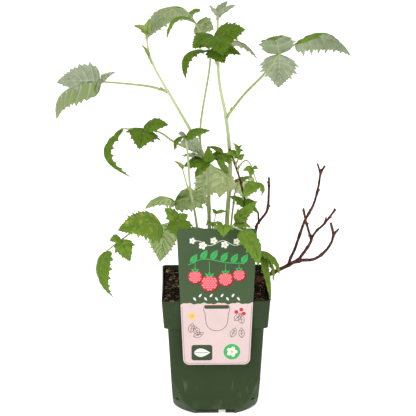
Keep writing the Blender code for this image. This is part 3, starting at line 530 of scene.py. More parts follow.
class StageSettings(PropertyGroup):
    """Floor, light and backdrop."""

    floor: colour_property("Floor", "Colour of the floor", 250, 250, 250)
    key: FloatProperty(name="Key light", description="Power of the key light", default=21.0,
                       min=0.0, unit="POWER")
    fill: FloatProperty(name="Fill light", description="Power of the fill light", default=9.0,
                        min=0.0, unit="POWER")
    sky: FloatProperty(name="Surround", description="Strength of the light from all round",
                       default=0.72, min=0.0)
    glow: FloatProperty(name="Floor glow", description="Light that the floor itself gives",
                        default=0.65, min=0.0)


class Shell:
    """Points and faces gathered for one piece, in millimetres."""

    def __init__(self):
        self.points = []
        self.faces = []
        self.finishes = []
        self.veins = []
        self.shades = []

    def add_points(self, points, vein=0.0, shade=0.0):
        """Adds points and returns the number of the first one."""
        start = len(self.points)
        self.points.extend(points)
        self.veins.extend([vein] * len(points))
        self.shades.extend([shade] * len(points))
        return start

    def add_face(self, corners, finish=0):
        self.faces.append(corners)
        self.finishes.append(finish)

    def add_rings(self, rings, finish=0, first_cap=None, last_cap=None):
        """Joins rings of points into a tube, and closes its ends where a cap is named."""
        starts = [self.add_points(ring) for ring in rings]
        count = len(rings[0])
        for lower, upper in zip(starts, starts[1:]):
            for j in range(count):
                k = (j + 1) % count
                self.add_face((lower + j, lower + k, upper + k, upper + j), finish)
        if first_cap is not None:
            self.add_face([starts[0] + j for j in reversed(range(count))], first_cap)
        if last_cap is not None:
            self.add_face([starts[-1] + j for j in range(count)], last_cap)


def piece_from(shell, name, materials, smooth=True):
    """Makes the object of a shell, with its finishes and its marks for veins and shade."""
    mesh = bpy.data.meshes.new(name)
    mesh.from_pydata([point * MM for point in shell.points], [], shell.faces)
    for material in materials:
        mesh.materials.append(material)
    mesh.polygons.foreach_set("material_index", shell.finishes)
    for key, values in (("vein", shell.veins), ("shade", shell.shades)):
        mesh.attributes.new(key, "FLOAT", "POINT").data.foreach_set("value", values)
    mesh.polygons.foreach_set("use_smooth", [smooth] * len(shell.faces))
    mesh.update()
    piece = bpy.data.objects.new(name, mesh)
    bpy.context.scene.collection.objects.link(piece)
    return piece


def keep_sharp(piece, degrees):
    """Shades the edges that turn by more than an angle as sharp ones."""
    piece.data.set_sharp_from_angle(angle=math.radians(degrees))


def settle(piece, slot, *nodes):
    """Puts a piece on the plant's one body, in place of the nodes it stands for."""
    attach(piece, "root")
    if nodes:
        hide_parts(*nodes)


def new_material(name, roughness, gloss=0.12):
    """A material with the roughness and the strength of the reflections set."""
    material = bpy.data.materials.new(name)
    material.use_nodes = True
    shader = material.node_tree.nodes["Principled BSDF"]
    shader.inputs["Roughness"].default_value = roughness
    shader.inputs["Specular IOR Level"].default_value = gloss
    return material, material.node_tree, shader


def place_on_part(tree, stretch=(1, 1, 1)):
    """The place of each point of the piece, stretched to draw a pattern out."""
    coordinates = tree.nodes.new("ShaderNodeTexCoord")
    mapping = tree.nodes.new("ShaderNodeMapping")
    mapping.inputs["Scale"].default_value = stretch
    tree.links.new(coordinates.outputs["Object"], mapping.inputs["Vector"])
    return mapping.outputs["Vector"]


def noise_field(tree, scale, detail=3.0, stretch=(1, 1, 1)):
    """Soft blotches of about one metre divided by scale."""
    node = tree.nodes.new("ShaderNodeTexNoise")
    node.inputs["Scale"].default_value = scale
    node.inputs["Detail"].default_value = detail
    tree.links.new(place_on_part(tree, stretch), node.inputs["Vector"])
    return node.outputs["Fac"]


def cell_field(tree, scale, stretch=(1, 1, 1)):
    """Distance to the middle of small cells."""
    node = tree.nodes.new("ShaderNodeTexVoronoi")
    node.inputs["Scale"].default_value = scale
    tree.links.new(place_on_part(tree, stretch), node.inputs["Vector"])
    return node.outputs["Distance"]


def height_field(tree):
    """The height above the ground, in metres."""
    split = tree.nodes.new("ShaderNodeSeparateXYZ")
    tree.links.new(place_on_part(tree), split.inputs["Vector"])
    return split.outputs["Z"]


def mark_field(tree, name):
    """A mark that the mesh carries at its points."""
    node = tree.nodes.new("ShaderNodeAttribute")
    node.attribute_name = name
    return node.outputs["Fac"]


def spread(tree, field, low, high, low_value=0.0, high_value=1.0):
    """Takes the part of a field between low and high to the given values."""
    node = tree.nodes.new("ShaderNodeMapRange")
    for socket, value in zip(node.inputs[1:5], (low, high, low_value, high_value)):
        socket.default_value = value
    tree.links.new(field, node.inputs["Value"])
    return node.outputs["Result"]


def multiply(tree, one, other):
    node = tree.nodes.new("ShaderNodeMath")
    node.operation = "MULTIPLY"
    tree.links.new(one, node.inputs[0])
    tree.links.new(other, node.inputs[1])
    return node.outputs["Value"]


def blend_colours(tree, share, first, second):
    """A mix of two colours, each a colour or the output of a node."""
    node = tree.nodes.new("ShaderNodeMix")
    node.data_type = "RGBA"
    tree.links.new(share, node.inputs["Factor"])
    for value, key in ((first, "A_Color"), (second, "B_Color")):
        socket = next(s for s in node.inputs if s.identifier == key)
        if isinstance(value, bpy.types.NodeSocket):
            tree.links.new(value, socket)
        else:
            socket.default_value = (*value, 1.0)
    return next(s for s in node.outputs if s.identifier == "Result_Color")


def tinted(colour, factor):
    """A colour made lighter or darker by a factor."""
    return tuple(min(1.0, value * factor) for value in colour)


def two_tones(tree, field, low, high, colour, dark, light):
    """A colour made darker where a field is low and lighter where it is high."""
    return blend_colours(tree, spread(tree, field, low, high), tinted(colour, dark),
                         tinted(colour, light))


def set_colour(tree, shader, colour):
    tree.links.new(colour, shader.inputs["Base Color"])


def vary_roughness(tree, shader, field, at_low, at_high, low=0.3, high=0.7):
    """Takes the roughness from one value to another as a field goes from low to high."""
    tree.links.new(spread(tree, field, low, high, at_low, at_high), shader.inputs["Roughness"])


def add_relief(tree, shader, field, distance, strength=0.5):
    """Lets a field raise the surface by about distance, in millimetres."""
    node = tree.nodes.new("ShaderNodeBump")
    node.inputs["Strength"].default_value = strength
    node.inputs["Distance"].default_value = distance * MM
    tree.links.new(field, node.inputs["Height"])
    before = shader.inputs["Normal"].links
    if before:
        tree.links.new(before[0].from_socket, node.inputs["Normal"])
    tree.links.new(node.outputs["Normal"], shader.inputs["Normal"])


def plastic_material(settings):
    """Matt green plastic with a fine grain, dust near the ground and dried drops."""
    material, tree, shader = new_material("pot_plastic", 0.5)
    cloud = noise_field(tree, 26.0)
    colour = two_tones(tree, cloud, 0.3, 0.7, settings.plastic, 0.93, 1.07)
    streaks = spread(tree, noise_field(tree, 190.0, 3.0, (1, 1, 0.2)), 0.6, 0.76)
    zones = spread(tree, noise_field(tree, 26.0, 1.0), 0.5, 0.6)
    drops = multiply(tree, multiply(tree, streaks, zones),
                     spread(tree, height_field(tree), 0.05, 0.14, 0.3, 0.12))
    colour = blend_colours(tree, drops, colour, tuple(settings.stain))
    dust = multiply(tree, spread(tree, height_field(tree), 0.0, 0.02, 0.35, 0.0),
                    spread(tree, noise_field(tree, 90.0), 0.4, 0.7))
    colour = blend_colours(tree, dust, colour, tinted(settings.stain, 0.8))
    set_colour(tree, shader, colour)
    vary_roughness(tree, shader, cloud, 0.42, 0.56)
    add_relief(tree, shader, noise_field(tree, 1400.0, 2.0), 0.05, 0.35)
    add_relief(tree, shader, noise_field(tree, 60.0, 2.0), 0.25, 0.25)
    return material


def peat_material(name, colour, hollow_shade):
    """Moist, crumbly matter of one colour, with painted shade that makes it darker in its hollows
    and painted light on its crests.
    """
    material, tree, shader = new_material(name, 0.92)
    grain = noise_field(tree, 420.0, 6.0)
    # Painted shade and light: the colour follows the grain's relief, darker in the hollows and
    # lighter on the crests.
    set_colour(tree, shader, two_tones(tree, grain, 0.35, 0.68, colour, 1 - hollow_shade,
                                       1 + hollow_shade))
    vary_roughness(tree, shader, noise_field(tree, 240.0), 0.72, 1.0)
    add_relief(tree, shader, grain, 0.8, 0.8)
    add_relief(tree, shader, cell_field(tree, 700.0), 0.4, 0.6)
    return material


def printed_material(name, colour):
    """Ink on a satin plastic card."""
    material, tree, shader = new_material(name, 0.5)
    paper = noise_field(tree, 900.0, 2.0)
    cloud = noise_field(tree, 40.0, 2.0)
    set_colour(tree, shader, two_tones(tree, cloud, 0.3, 0.7, colour, 0.97, 1.03))
    vary_roughness(tree, shader, cloud, 0.44, 0.54)
    add_relief(tree, shader, paper, 0.03, 0.3)
    return material


def cane_material(settings):
    """A green cane: darker and greener low down, and pale near the tip, partly its own colour and
    partly painted highlight.
    """
    material, tree, shader = new_material("cane_skin", 0.48)
    # Partly painted highlight: the cane pales with height towards its tip colour.
    rise = spread(tree, height_field(tree), *CANE_FADE)
    colour = blend_colours(tree, rise, tuple(settings.low), tuple(settings.high))
    threads = noise_field(tree, 900.0, 3.0, (1, 1, 0.06))
    colour = blend_colours(tree, spread(tree, threads, 0.42, 0.7, 0.0, 0.4), colour,
                           tinted(settings.high, 1.25))
    blush = spread(tree, noise_field(tree, 60.0, 2.0), 0.56, 0.75, 0.0, 0.35)
    colour = blend_colours(tree, blush, colour, tinted(settings.low, 0.75))
    set_colour(tree, shader, colour)
    vary_roughness(tree, shader, threads, 0.38, 0.56)
    add_relief(tree, shader, threads, 0.12, 0.5)
    return material


def stalk_material(settings):
    """The thin stalks of the leaves, a little paler than the canes."""
    material, tree, shader = new_material("stalk_skin", 0.5)
    threads = noise_field(tree, 700.0, 3.0, (1, 1, 0.3))
    set_colour(tree, shader, two_tones(tree, threads, 0.35, 0.68, settings.rib, 0.72, 1.12))
    add_relief(tree, shader, threads, 0.1, 0.4)
    return material


def cracked_bark(tree, cracks, settings):
    """The colour of dark bark and of the cracks in it."""
    return blend_colours(tree, spread(tree, cracks, 0.36, 0.62), tuple(settings.crack),
                         tuple(settings.bark))


def bark_material(settings):
    """Dark red-brown bark with fine cracks along it and pale flecks."""
    material, tree, shader = new_material("old_bark", 0.7)
    cracks = noise_field(tree, 520.0, 5.0, (1, 1, 0.22))
    colour = cracked_bark(tree, cracks, settings)
    flecks = spread(tree, cell_field(tree, 420.0, (1, 1, 0.5)), 0.0, 0.2, 0.5, 0.0)
    patchy = multiply(tree, flecks, spread(tree, noise_field(tree, 130.0), 0.5, 0.62))
    colour = blend_colours(tree, patchy, colour, tuple(settings.pale))
    set_colour(tree, shader, colour)
    vary_roughness(tree, shader, cracks, 0.82, 0.56)
    add_relief(tree, shader, cracks, 0.4, 0.7)
    return material


def thin_bark_material(settings):
    """The thin old cane: pale brown and peeling low down, dark above."""
    material, tree, shader = new_material("thin_bark", 0.7)
    cracks = noise_field(tree, 480.0, 5.0, (1, 1, 0.12))
    dark = cracked_bark(tree, cracks, settings)
    pale = two_tones(tree, cracks, 0.4, 0.66, settings.pale, 0.66, 1.12)
    rise = spread(tree, height_field(tree), *BARK_CHANGE)
    set_colour(tree, shader, blend_colours(tree, rise, pale, dark))
    add_relief(tree, shader, cracks, 0.3, 0.6)
    return material


def cut_wood_material(settings):
    """The pruned end of a branch."""
    material, tree, shader = new_material("cut_wood", 0.8)
    grain = noise_field(tree, 1200.0, 3.0)
    set_colour(tree, shader, two_tones(tree, grain, 0.35, 0.65, settings.cut, 0.6, 1.15))
    add_relief(tree, shader, grain, 0.2, 0.6)
    return material


def leaf_material(name, colour, rib, vein_share, roughness, patch=None):
    """One side of a leaf: mottled, leaning to olive in the shade, with paler veins."""
    material, tree, shader = new_material(name, roughness)
    base = two_tones(tree, noise_field(tree, 130.0, 4.0), 0.34, 0.68, colour, 0.8, 1.16)
    if patch:
        spots = spread(tree, noise_field(tree, 120.0, 4.0), 0.52, 0.7, 0.0, 0.7)
        base = blend_colours(tree, spots, base, patch)
    lean = spread(tree, mark_field(tree, "shade"), 0.0, 1.0)
    olive = tuple(part * share for part, share in zip(colour, OLIVE_SHADE))
    base = blend_colours(tree, lean, base, olive)
    veins = spread(tree, mark_field(tree, "vein"), 0.25, 1.0, 0.0, vein_share)
    set_colour(tree, shader, blend_colours(tree, veins, base, rib))
    skin = cell_field(tree, 620.0)
    vary_roughness(tree, shader, skin, roughness - 0.08, roughness + 0.1, 0.0)
    add_relief(tree, shader, skin, 0.22, 0.45)
    add_relief(tree, shader, noise_field(tree, 300.0, 3.0), 0.4, 0.35)
    return material


def pot_half(z):
    """Half the width of the pot's tapering body at one level."""
    return BASE_HALF + (SHOULDER_HALF - BASE_HALF) * z / SHOULDER_LEVEL


def cone_radius(z):
    """The cone that trims the corners near the base, or None above it."""
    if z > CONE_TOP:
        return None
    if z <= SKIRT_HEIGHT:
        return CONE_AT_GROUND + (CONE_AT_SKIRT - CONE_AT_GROUND) * z / SKIRT_HEIGHT
    top = (pot_half(CONE_TOP) - CORNER_RADIUS) * math.sqrt(2) + CORNER_RADIUS
    return CONE_AT_SKIRT + (top - CONE_AT_SKIRT) * (z - SKIRT_HEIGHT) / (CONE_TOP - SKIRT_HEIGHT)


def pot_section(z, half, cone=None, bow=0.0):
    """One level of the pot: a square with rounded corners, or corners cut by the cone."""
    radius = cone or CORNER_RADIUS
    centre = 0.0 if cone else half - CORNER_RADIUS
    start = math.acos(min(1.0, (half - centre) / radius))
    sweep = math.pi / 2 - 2 * start
    quarter_points = []
    for step in range(CORNER_STEPS + 1):
        angle = start + sweep * step / CORNER_STEPS
        quarter_points.append(Vector((centre + radius * math.cos(angle),
                                      centre + radius * math.sin(angle), z)))
    last = quarter_points[-1]
    following = Vector((-quarter_points[0].y, quarter_points[0].x, z))
    for step in range(1, SIDE_STEPS):
        share = step / SIDE_STEPS
        point = last.lerp(following, share)
        point.y -= bow * math.sin(math.pi * share)
        quarter_points.append(point)
    points = []
    for quarter in range(4):
        turn = Matrix.Rotation(quarter * math.pi / 2, 3, "Z")
        points += [turn @ point for point in quarter_points]
    return points


def body_section(z, inset=0.0, bow=0.0):
    """The body's outline at one level, moved in by the wall or by the soil's gap."""
    cone = cone_radius(z)
    return pot_section(z, pot_half(z) - inset, cone - inset if cone else None, bow)


def rounded_edge(z, half, radius, start, end, bow=0.0, steps=5):
    """Sections that take an edge of the pot round in an arc, from one angle to another."""
    sections = []
    for step in range(steps + 1):
        angle = math.radians(start + (end - start) * step / steps)
        sections.append(pot_section(z + radius * math.sin(angle),
                                    half + radius * math.cos(angle), None, bow))
    return sections


def pot_sections(lip):
    """Every level of the pot, from under its floor, up its outside and down its inside."""
    shoulder = SHOULDER_LEVEL
    floor_top = FLOOR_UNDERSIDE + FLOOR_THICK
    low = (SKIRT_HEIGHT - 0.6, SKIRT_HEIGHT + 0.4, 24.0, 31.0, 39.0, CONE_TOP - 0.2, CONE_TOP + 0.6)
    high = (62.0, 80.0, 98.0)
    outer = [body_section(0.0), body_section(0.5)]
    outer += [body_section(z) for z in low]
    outer += [body_section(z, 0.0, WALL_BOW) for z in high]
    outer += [body_section(shoulder - 1.2, 0.0, WALL_BOW), body_section(shoulder, -0.5, WALL_BOW)]
    outer += rounded_edge(shoulder + COLLAR_ROUND, COLLAR_FOOT_HALF - COLLAR_ROUND, COLLAR_ROUND,
                          -90, 0, WALL_BOW)
    outer.append(pot_section(shoulder + COLLAR_HEIGHT / 2, (COLLAR_FOOT_HALF + RIM_HALF) / 2, None,
                             WALL_BOW))
    outer += rounded_edge(POT_HEIGHT - lip, RIM_HALF - lip, lip, 0, 90, WALL_BOW)
    inner = rounded_edge(POT_HEIGHT - lip, RIM_HALF - WALL + lip, lip, 90, 180, WALL_BOW)
    inner += [pot_section(shoulder + WALL, COLLAR_FOOT_HALF - WALL, None, WALL_BOW),
              body_section(shoulder, WALL, WALL_BOW)]
    inner += [body_section(z, WALL, WALL_BOW) for z in reversed(high)]
    inner += [body_section(z, WALL) for z in reversed(low)]
    inner += [body_section(floor_top, WALL)]
    under = [body_section(FLOOR_UNDERSIDE, FOOT_THICK), body_section(0.0, FOOT_THICK)]
    return under + outer + inner


def box_between(name, low, high, turn):
    """A box between two corners, in millimetres, turned about the upright axis."""
    low, high = Vector(low) * MM, Vector(high) * MM
    bm = bmesh.new()
    bmesh.ops.create_cube(bm, size=1.0)
    bmesh.ops.scale(bm, verts=bm.verts, vec=high - low)
    bmesh.ops.translate(bm, verts=bm.verts, vec=(low + high) / 2)
    mesh = bpy.data.meshes.new(name)
    bm.to_mesh(mesh)
    bm.free()
    mesh.transform(turn)
    return bpy.data.objects.new(name, mesh)


def pot_cutters():
    """The notches between the feet, and a drain slot through the wall at each corner."""
    cutters = []
    reach = BASE_HALF + CUTTER_EXCESS
    inside = BASE_HALF - FOOT_THICK - CUTTER_EXCESS
    for quarter in range(4):
        turn = Matrix.Rotation(quarter * math.pi / 2, 4, "Z")
        slant = turn @ Matrix.Rotation(math.radians(-DRAIN_HEADING), 4, "Z")
        cutters.append(box_between("notch", (-NOTCH_WIDTH / 2, -reach, -2),
                                   (NOTCH_WIDTH / 2, -inside, NOTCH_HEIGHT), turn))
        cutters.append(box_between(
            "drain", (inside, -DRAIN_WIDTH / 2, DRAIN_LEVEL - DRAIN_HEIGHT / 2),
            (CONE_AT_SKIRT + CUTTER_EXCESS, DRAIN_WIDTH / 2, DRAIN_LEVEL + DRAIN_HEIGHT / 2), slant))
    return cutters


def cut_away(piece, cutters):
    """Cuts the cutters out of a piece, and applies the cut."""
    tools = bpy.data.collections.new("cutters")
    bpy.context.scene.collection.children.link(tools)
    for cutter in cutters:
        tools.objects.link(cutter)
    step = piece.modifiers.new("cut", "BOOLEAN")
    step.operation = "DIFFERENCE"
    step.operand_type = "COLLECTION"
    step.collection = tools
    step.solver = "EXACT"
    bpy.context.view_layer.update()
    graph = bpy.context.evaluated_depsgraph_get()
    mesh = bpy.data.meshes.new_from_object(piece.evaluated_get(graph))
    piece.modifiers.clear()
    piece.data = mesh
    for cutter in cutters:
        bpy.data.objects.remove(cutter, do_unlink=True)
    bpy.data.collections.remove(tools)


def make_pot(settings):
    """The pot with a rounded lip, a deep collar, feet and drains, and what is under its floor."""
    shell = Shell()
    shell.add_rings(pot_sections(settings.lip / MM), 0, 0, 0)
    piece = piece_from(shell, "nursery_pot", [plastic_material(settings)])
    cut_away(piece, pot_cutters())
    keep_sharp(piece, POT_SHARP)
    settle(piece, "pot_green", "pot")
    make_floor_pad(piece.data.materials[0])
    make_foot_ribs(piece.data.materials[0])


def make_floor_pad(material):
    """The round pad under the pot's floor."""
    shell = Shell()
    levels = ((PAD_RADIUS - PAD_ROUND, 0.0), (PAD_RADIUS, PAD_ROUND), (PAD_RADIUS, 6.0),
              (PAD_RADIUS + PAD_FLARE, FLOOR_UNDERSIDE + 0.5))
    rings = [[Vector((x, y, z)) for x, y in disc(0, 0, radius, 48)] for radius, z in levels]
    shell.add_rings(rings, 0, 0, 0)
    pad = piece_from(shell, "floor_pad", [material])
    keep_sharp(pad, POT_SHARP)
    settle(pad, "pot_green", "pot")


def make_foot_ribs(material):
    """The stepped ribs behind the notches, under the floor, with a gap near the middle."""
    shell = Shell()
    face = BASE_HALF - FOOT_THICK - RIB_SETBACK
    ledge, back = face - RIB_LEDGE, face - RIB_DEPTH
    top = FLOOR_UNDERSIDE + RIB_OVERLAP
    step = [(face, 0.0), (face, RIB_STEP), (ledge, RIB_STEP), (ledge, top), (back, top), (back, 0.0)]
    for quarter in range(4):
        turn = Matrix.Rotation(quarter * math.pi / 2, 3, "Z")
        for start, end in RIB_RUNS:
            shell.add_rings([[turn @ Vector((x, -y, z)) for y, z in step] for x in (start, end)],
                            0, 0, 0)
    ribs = piece_from(shell, "foot_ribs", [material], smooth=False)
    settle(ribs, "pot_green", "pot")


def inside_collar(x, y, half):
    """Moves a point of the soil's square in from the collar's rounded corners."""
    centre = half - CORNER_RADIUS
    past_x, past_y = abs(x) - centre, abs(y) - centre
    if past_x <= 0 or past_y <= 0:
        return x, y
    reach = math.hypot(past_x, past_y)
    if reach <= CORNER_RADIUS:
        return x, y
    pull = CORNER_RADIUS / reach
    return (math.copysign(centre + past_x * pull, x), math.copysign(centre + past_y * pull, y))


def soil_height(x, y, lumps):
    """How high the peat stands at one place: clods, crumbs and grains."""
    place = Vector((x, y, 0.0))
    clods = noise.noise(place / 17.0) * 0.45
    crumbs = noise.noise(place / 5.5 + Vector((7, 3, 1))) * 0.5
    grains = noise.noise(place / 2.1 + Vector((1, 9, 4))) * 0.28
    return SOIL_TOP - 0.4 + lumps * (clods + crumbs + grains)


def soil_half(z, inset):
    """Half the width of the soil inside the collar."""
    rise = (z - SHOULDER_LEVEL) / COLLAR_HEIGHT
    return COLLAR_FOOT_HALF + (RIM_HALF - COLLAR_FOOT_HALF) * rise - inset


def make_soil(settings):
    """The peat's rough surface in the pot, closed by sides that go down into the collar."""
    shell = Shell()
    inset = WALL + SOIL_GAP
    lumps = settings.lumps / MM
    half = soil_half(SOIL_TOP, inset)
    count = SOIL_CELLS
    for i in range(count + 1):
        for j in range(count + 1):
            x, y = inside_collar(half * (2 * j / count - 1), half * (2 * i / count - 1), half)
            shell.add_points([Vector((x, y, soil_height(x, y, lumps)))])
    for i in range(count):
        for j in range(count):
            corner = i * (count + 1) + j
            shell.add_face((corner, corner + 1, corner + count + 2, corner + count + 1))
    edge = list(range(count))
    edge += [count + i * (count + 1) for i in range(count)]
    edge += [count * (count + 1) + j for j in range(count, 0, -1)]
    edge += [i * (count + 1) for i in range(count, 0, -1)]
    foot_z = SOIL_TOP - SOIL_DEPTH
    shrink = soil_half(foot_z, inset) / half
    foot = shell.add_points([Vector((shell.points[k].x * shrink, shell.points[k].y * shrink,
                                     foot_z)) for k in edge])
    for n, k in enumerate(edge):
        after = (n + 1) % len(edge)
        shell.add_face((k, foot + n, foot + after, edge[after]))
    shell.add_face([foot + n for n in range(len(edge))])
    piece = piece_from(shell, "peat_surface", [peat_material("peat", settings.peat, 0.55)])
    settle(piece, "peat", "soil")


def stone_points(chance, middle, size):
    """Eight corners of a small angular crumb."""
    turn = Matrix.Rotation(chance.uniform(0, math.tau), 3, "Z") @ Matrix.Rotation(
        chance.uniform(-0.6, 0.6), 3, "X")
    long, wide, tall = size * chance.uniform(0.8, 1.5), size, size * chance.uniform(0.45, 0.8)
    points = []
    for sx, sy, sz in ((-1, -1, -1), (1, -1, -1), (1, 1, -1), (-1, 1, -1),
                       (-1, -1, 1), (1, -1, 1), (1, 1, 1), (-1, 1, 1)):
        corner = Vector((sx * long, sy * wide, sz * tall)) * 0.5
        points.append(middle + turn @ corner * chance.uniform(0.65, 1.1))
    return points


def make_crumbs(settings):
    """Loose crumbs of peat and bark on the soil, some moist and some dry."""
    chance = random.Random(11)
    shell = Shell()
    lumps = settings.lumps / MM
    sides = ((0, 3, 2, 1), (4, 5, 6, 7), (0, 1, 5, 4), (1, 2, 6, 5), (2, 3, 7, 6), (3, 0, 4, 7))
    for _ in range(settings.crumbs):
        x, y = chance.uniform(-60, 60), chance.uniform(-60, 60)
        size = chance.choice(CRUMB_SIZES)
        middle = Vector((x, y, soil_height(x, y, lumps) + size * 0.14))
        start = shell.add_points(stone_points(chance, middle, size))
        finish = chance.choices((0, 1, 2), CRUMB_WEIGHTS)[0]
        for side in sides:
            shell.add_face([start + corner for corner in side], finish)
    materials = [peat_material("moist_crumb", tinted(settings.peat, 1.3), 0.4),
                 peat_material("dry_crumb", settings.dry, 0.35),
                 peat_material("pale_crumb", tinted(settings.fibre, 0.8), 0.3)]
    piece = piece_from(shell, "peat_crumbs", materials, smooth=False)
    settle(piece, "peat", "soil")


def make_fibres(settings):
    """Fine pale fibres that lie on and stand out of the peat."""
    chance = random.Random(23)
    shell = Shell()
    lumps = settings.lumps / MM
    for number in range(settings.fibres):
        x, y = chance.uniform(-58, 58), chance.uniform(-58, 58)
        heading = chance.uniform(0, math.tau)
        length = chance.uniform(5, 17)
        curl = chance.uniform(-0.9, 0.9)
        lift = chance.uniform(0.2, 1.7)
        if number == 0:
            x, y, heading, length, lift = RIM_FIBRE
        route = []
        for step in range(6):
            share = step / 5
            angle = heading + curl * (share - 0.5) * 2
            reach = length * (share - 0.5)
            px, py = x + reach * math.cos(angle), y + reach * math.sin(angle)
            limit = RIM_HALF - WALL - 1.5 if number else RIM_HALF
            px, py = max(-limit, min(limit, px)), max(-limit, min(limit, py))
            pz = soil_height(px, py, lumps) + lift * math.sin(math.pi * share) + 0.15
            route.append(Vector((px, py, pz)))
        thick = chance.uniform(0.14, 0.42)
        add_tube(shell, route, lambda share: thick * (1 - 0.5 * share), 4,
                 finish=chance.choices((0, 1), (3, 2))[0])
    materials = [peat_material("pale_fibre", settings.fibre, 0.25),
                 peat_material("brown_fibre", settings.dry, 0.3)]
    piece = piece_from(shell, "peat_fibres", materials)
    settle(piece, "peat", "soil")


def polar(x, z, reach, way):
    """The place at a distance from another, in a direction given in radians."""
    return (x + reach * math.cos(way), z + reach * math.sin(way))


def arc(x, z, radius, start, end, steps=16):
    """Points on an arc, from one heading to another, in degrees."""
    return [polar(x, z, radius, math.radians(start + (end - start) * i / steps))
            for i in range(steps + 1)]


def disc(x, z, radius, points):
    """A round outline."""
    return [polar(x, z, radius, math.tau * i / points) for i in range(points)]


def card_half(z):
    """Half the card's width at one height."""
    lean = (CARD_TOP_WIDTH - CARD_FOOT_WIDTH) / 2 / (CARD_TOP - CARD_FOOT)
    return CARD_FOOT_WIDTH / 2 + lean * (z - CARD_FOOT)


def card_outline(inset, steps=12):
    """The card's outline, a tapering plate with four round corners, as (x, z) pairs."""
    foot_half, top_half = card_half(CARD_FOOT) - inset, card_half(CARD_TOP) - inset
    corners = [(foot_half, CARD_FOOT + inset, -90, CARD_FOOT_CORNER - inset),
               (top_half, CARD_TOP - inset, 0, CARD_TOP_CORNER - inset),
               (-top_half, CARD_TOP - inset, 90, CARD_TOP_CORNER - inset),
               (-foot_half, CARD_FOOT + inset, 180, CARD_FOOT_CORNER - inset)]
    points = []
    for x, z, heading, radius in corners:
        centre_x = CARD_CENTRE + x - math.copysign(radius, x)
        centre_z = z + radius if heading in (-90, 180) else z - radius
        points += arc(centre_x, centre_z, radius, heading, heading + 90, steps)
    return points


def lower_outline(inset, steps, top):
    """The card's outline below one height, as its points on the right and on the left."""
    low = [point for point in card_outline(inset, steps) if point[1] < top]
    right = [point for point in low if point[0] > CARD_CENTRE]
    left = [point for point in low if point[0] <= CARD_CENTRE]
    return right, left


def make_card_plate(settings):
    """The card's plate with softened edges, and the folded tab that hooks over the rim."""
    shell = Shell()
    rings = []
    for inset, level in ((CARD_EDGE_ROUND, 0.0), (0.08, 0.08), (0.0, CARD_EDGE_ROUND),
                         (0.0, CARD_THICK - CARD_EDGE_ROUND), (CARD_EDGE_ROUND, CARD_THICK)):
        rings.append([Vector((x, CARD_FRONT + level, z)) for x, z in card_outline(inset)])
    shell.add_rings(rings, 0, 0, 0)
    side = TAB_WIDTH / 2
    over = POT_HEIGHT + TAB_CLEARANCE
    leg = -(RIM_HALF - WALL - TAB_CLEARANCE)
    root, drop = CARD_BACK - CARD_THICK / 2, POT_HEIGHT - TAB_DROP
    fold = [(root, over), (leg, over), (leg, drop), (leg + TAB_THICK, drop),
            (leg + TAB_THICK, over + 0.2), (leg + TAB_THICK - 0.2, over + TAB_THICK),
            (root, over + TAB_THICK)]
    shell.add_rings([[Vector((x, y, z)) for y, z in fold] for x in (-side, side)], 0, 0, 0)
    piece = piece_from(shell, "card_plate", [printed_material("card_field", settings.field)])
    keep_sharp(piece, CARD_SHARP)
    settle(piece, "card_green", "label_card")


def add_plate(shell, outline, front, ink):
    """A flat printed shape with the given outline, its front face at one level."""
    rings = [[Vector((x, level, z)) for x, z in outline] for level in (front, front + INK)]
    shell.add_rings(rings, ink, ink, ink)


def leaf_shape(x, z, length, width, heading, points=9):
    """A pointed leaf outline that starts at one place and grows in one direction."""
    way = math.radians(heading)
    outline = []
    for side in (1, -1):
        shares = [i / points for i in range(points)]
        for share in (shares if side == 1 else [1 - s for s in shares]):
            half = width / 2 * math.sin(math.pi * share ** 0.8) * side
            along = length * share
            outline.append((x + along * math.cos(way) - half * math.sin(way),
                            z + along * math.sin(way) + half * math.cos(way)))
    return outline


def blossom(x, z, radius, petals=5, points=50):
    """The outline of an open blossom."""
    outline = []
    for i in range(points):
        angle = math.tau * i / points
        reach = radius * (0.62 + 0.38 * abs(math.cos(petals * angle / 2)))
        outline.append(polar(x, z, reach, angle))
    return outline


def rounded_panel(x, z, wide, tall, radius, steps=6):
    """A rectangle with round corners about its middle."""
    outline = []
    for sx, sz, heading in ((1, -1, -90), (1, 1, 0), (-1, 1, 90), (-1, -1, 180)):
        outline += arc(x + sx * (wide / 2 - radius), z + sz * (tall / 2 - radius), radius,
                       heading, heading + 90, steps)
    return outline


def add_line(shell, points, width, front, ink, closed=False):
    """A fine printed line through (x, z) points."""
    places = [Vector(point) for point in points]
    count = len(places)
    left, right = [], []
    for i, place in enumerate(places):
        before = places[i - 1] if closed or i else place
        after = places[(i + 1) % count] if closed or i < count - 1 else place
        way = (after - before).normalized()
        across = Vector((-way.y, way.x)) * width / 2
        left.append(place + across)
        right.append(place - across)
    for i in range(count if closed else count - 1):
        k = (i + 1) % count
        add_plate(shell, [tuple(left[i]), tuple(right[i]), tuple(right[k]), tuple(left[k])],
                  front, ink)


def add_berry(shell, x, z, radius, front):
    """A printed berry: a round fruit with a shaded side and rows of small domes."""
    add_plate(shell, disc(x + 0.7, z - 0.9, radius, 32), front, WINE)
    add_plate(shell, disc(x, z, radius * 0.96, 32), front - INK, RED)
    rows = 3
    for row in range(-rows, rows + 1):
        for column in range(-rows, rows + 1):
            px = x + (column + 0.5 * (row % 2)) * radius * 0.29
            pz = z + row * radius * 0.26
            if math.hypot(px - x, pz - z) < radius * 0.8:
                add_plate(shell, disc(px, pz, radius * 0.13, 9), front - 2 * INK, ROSE)


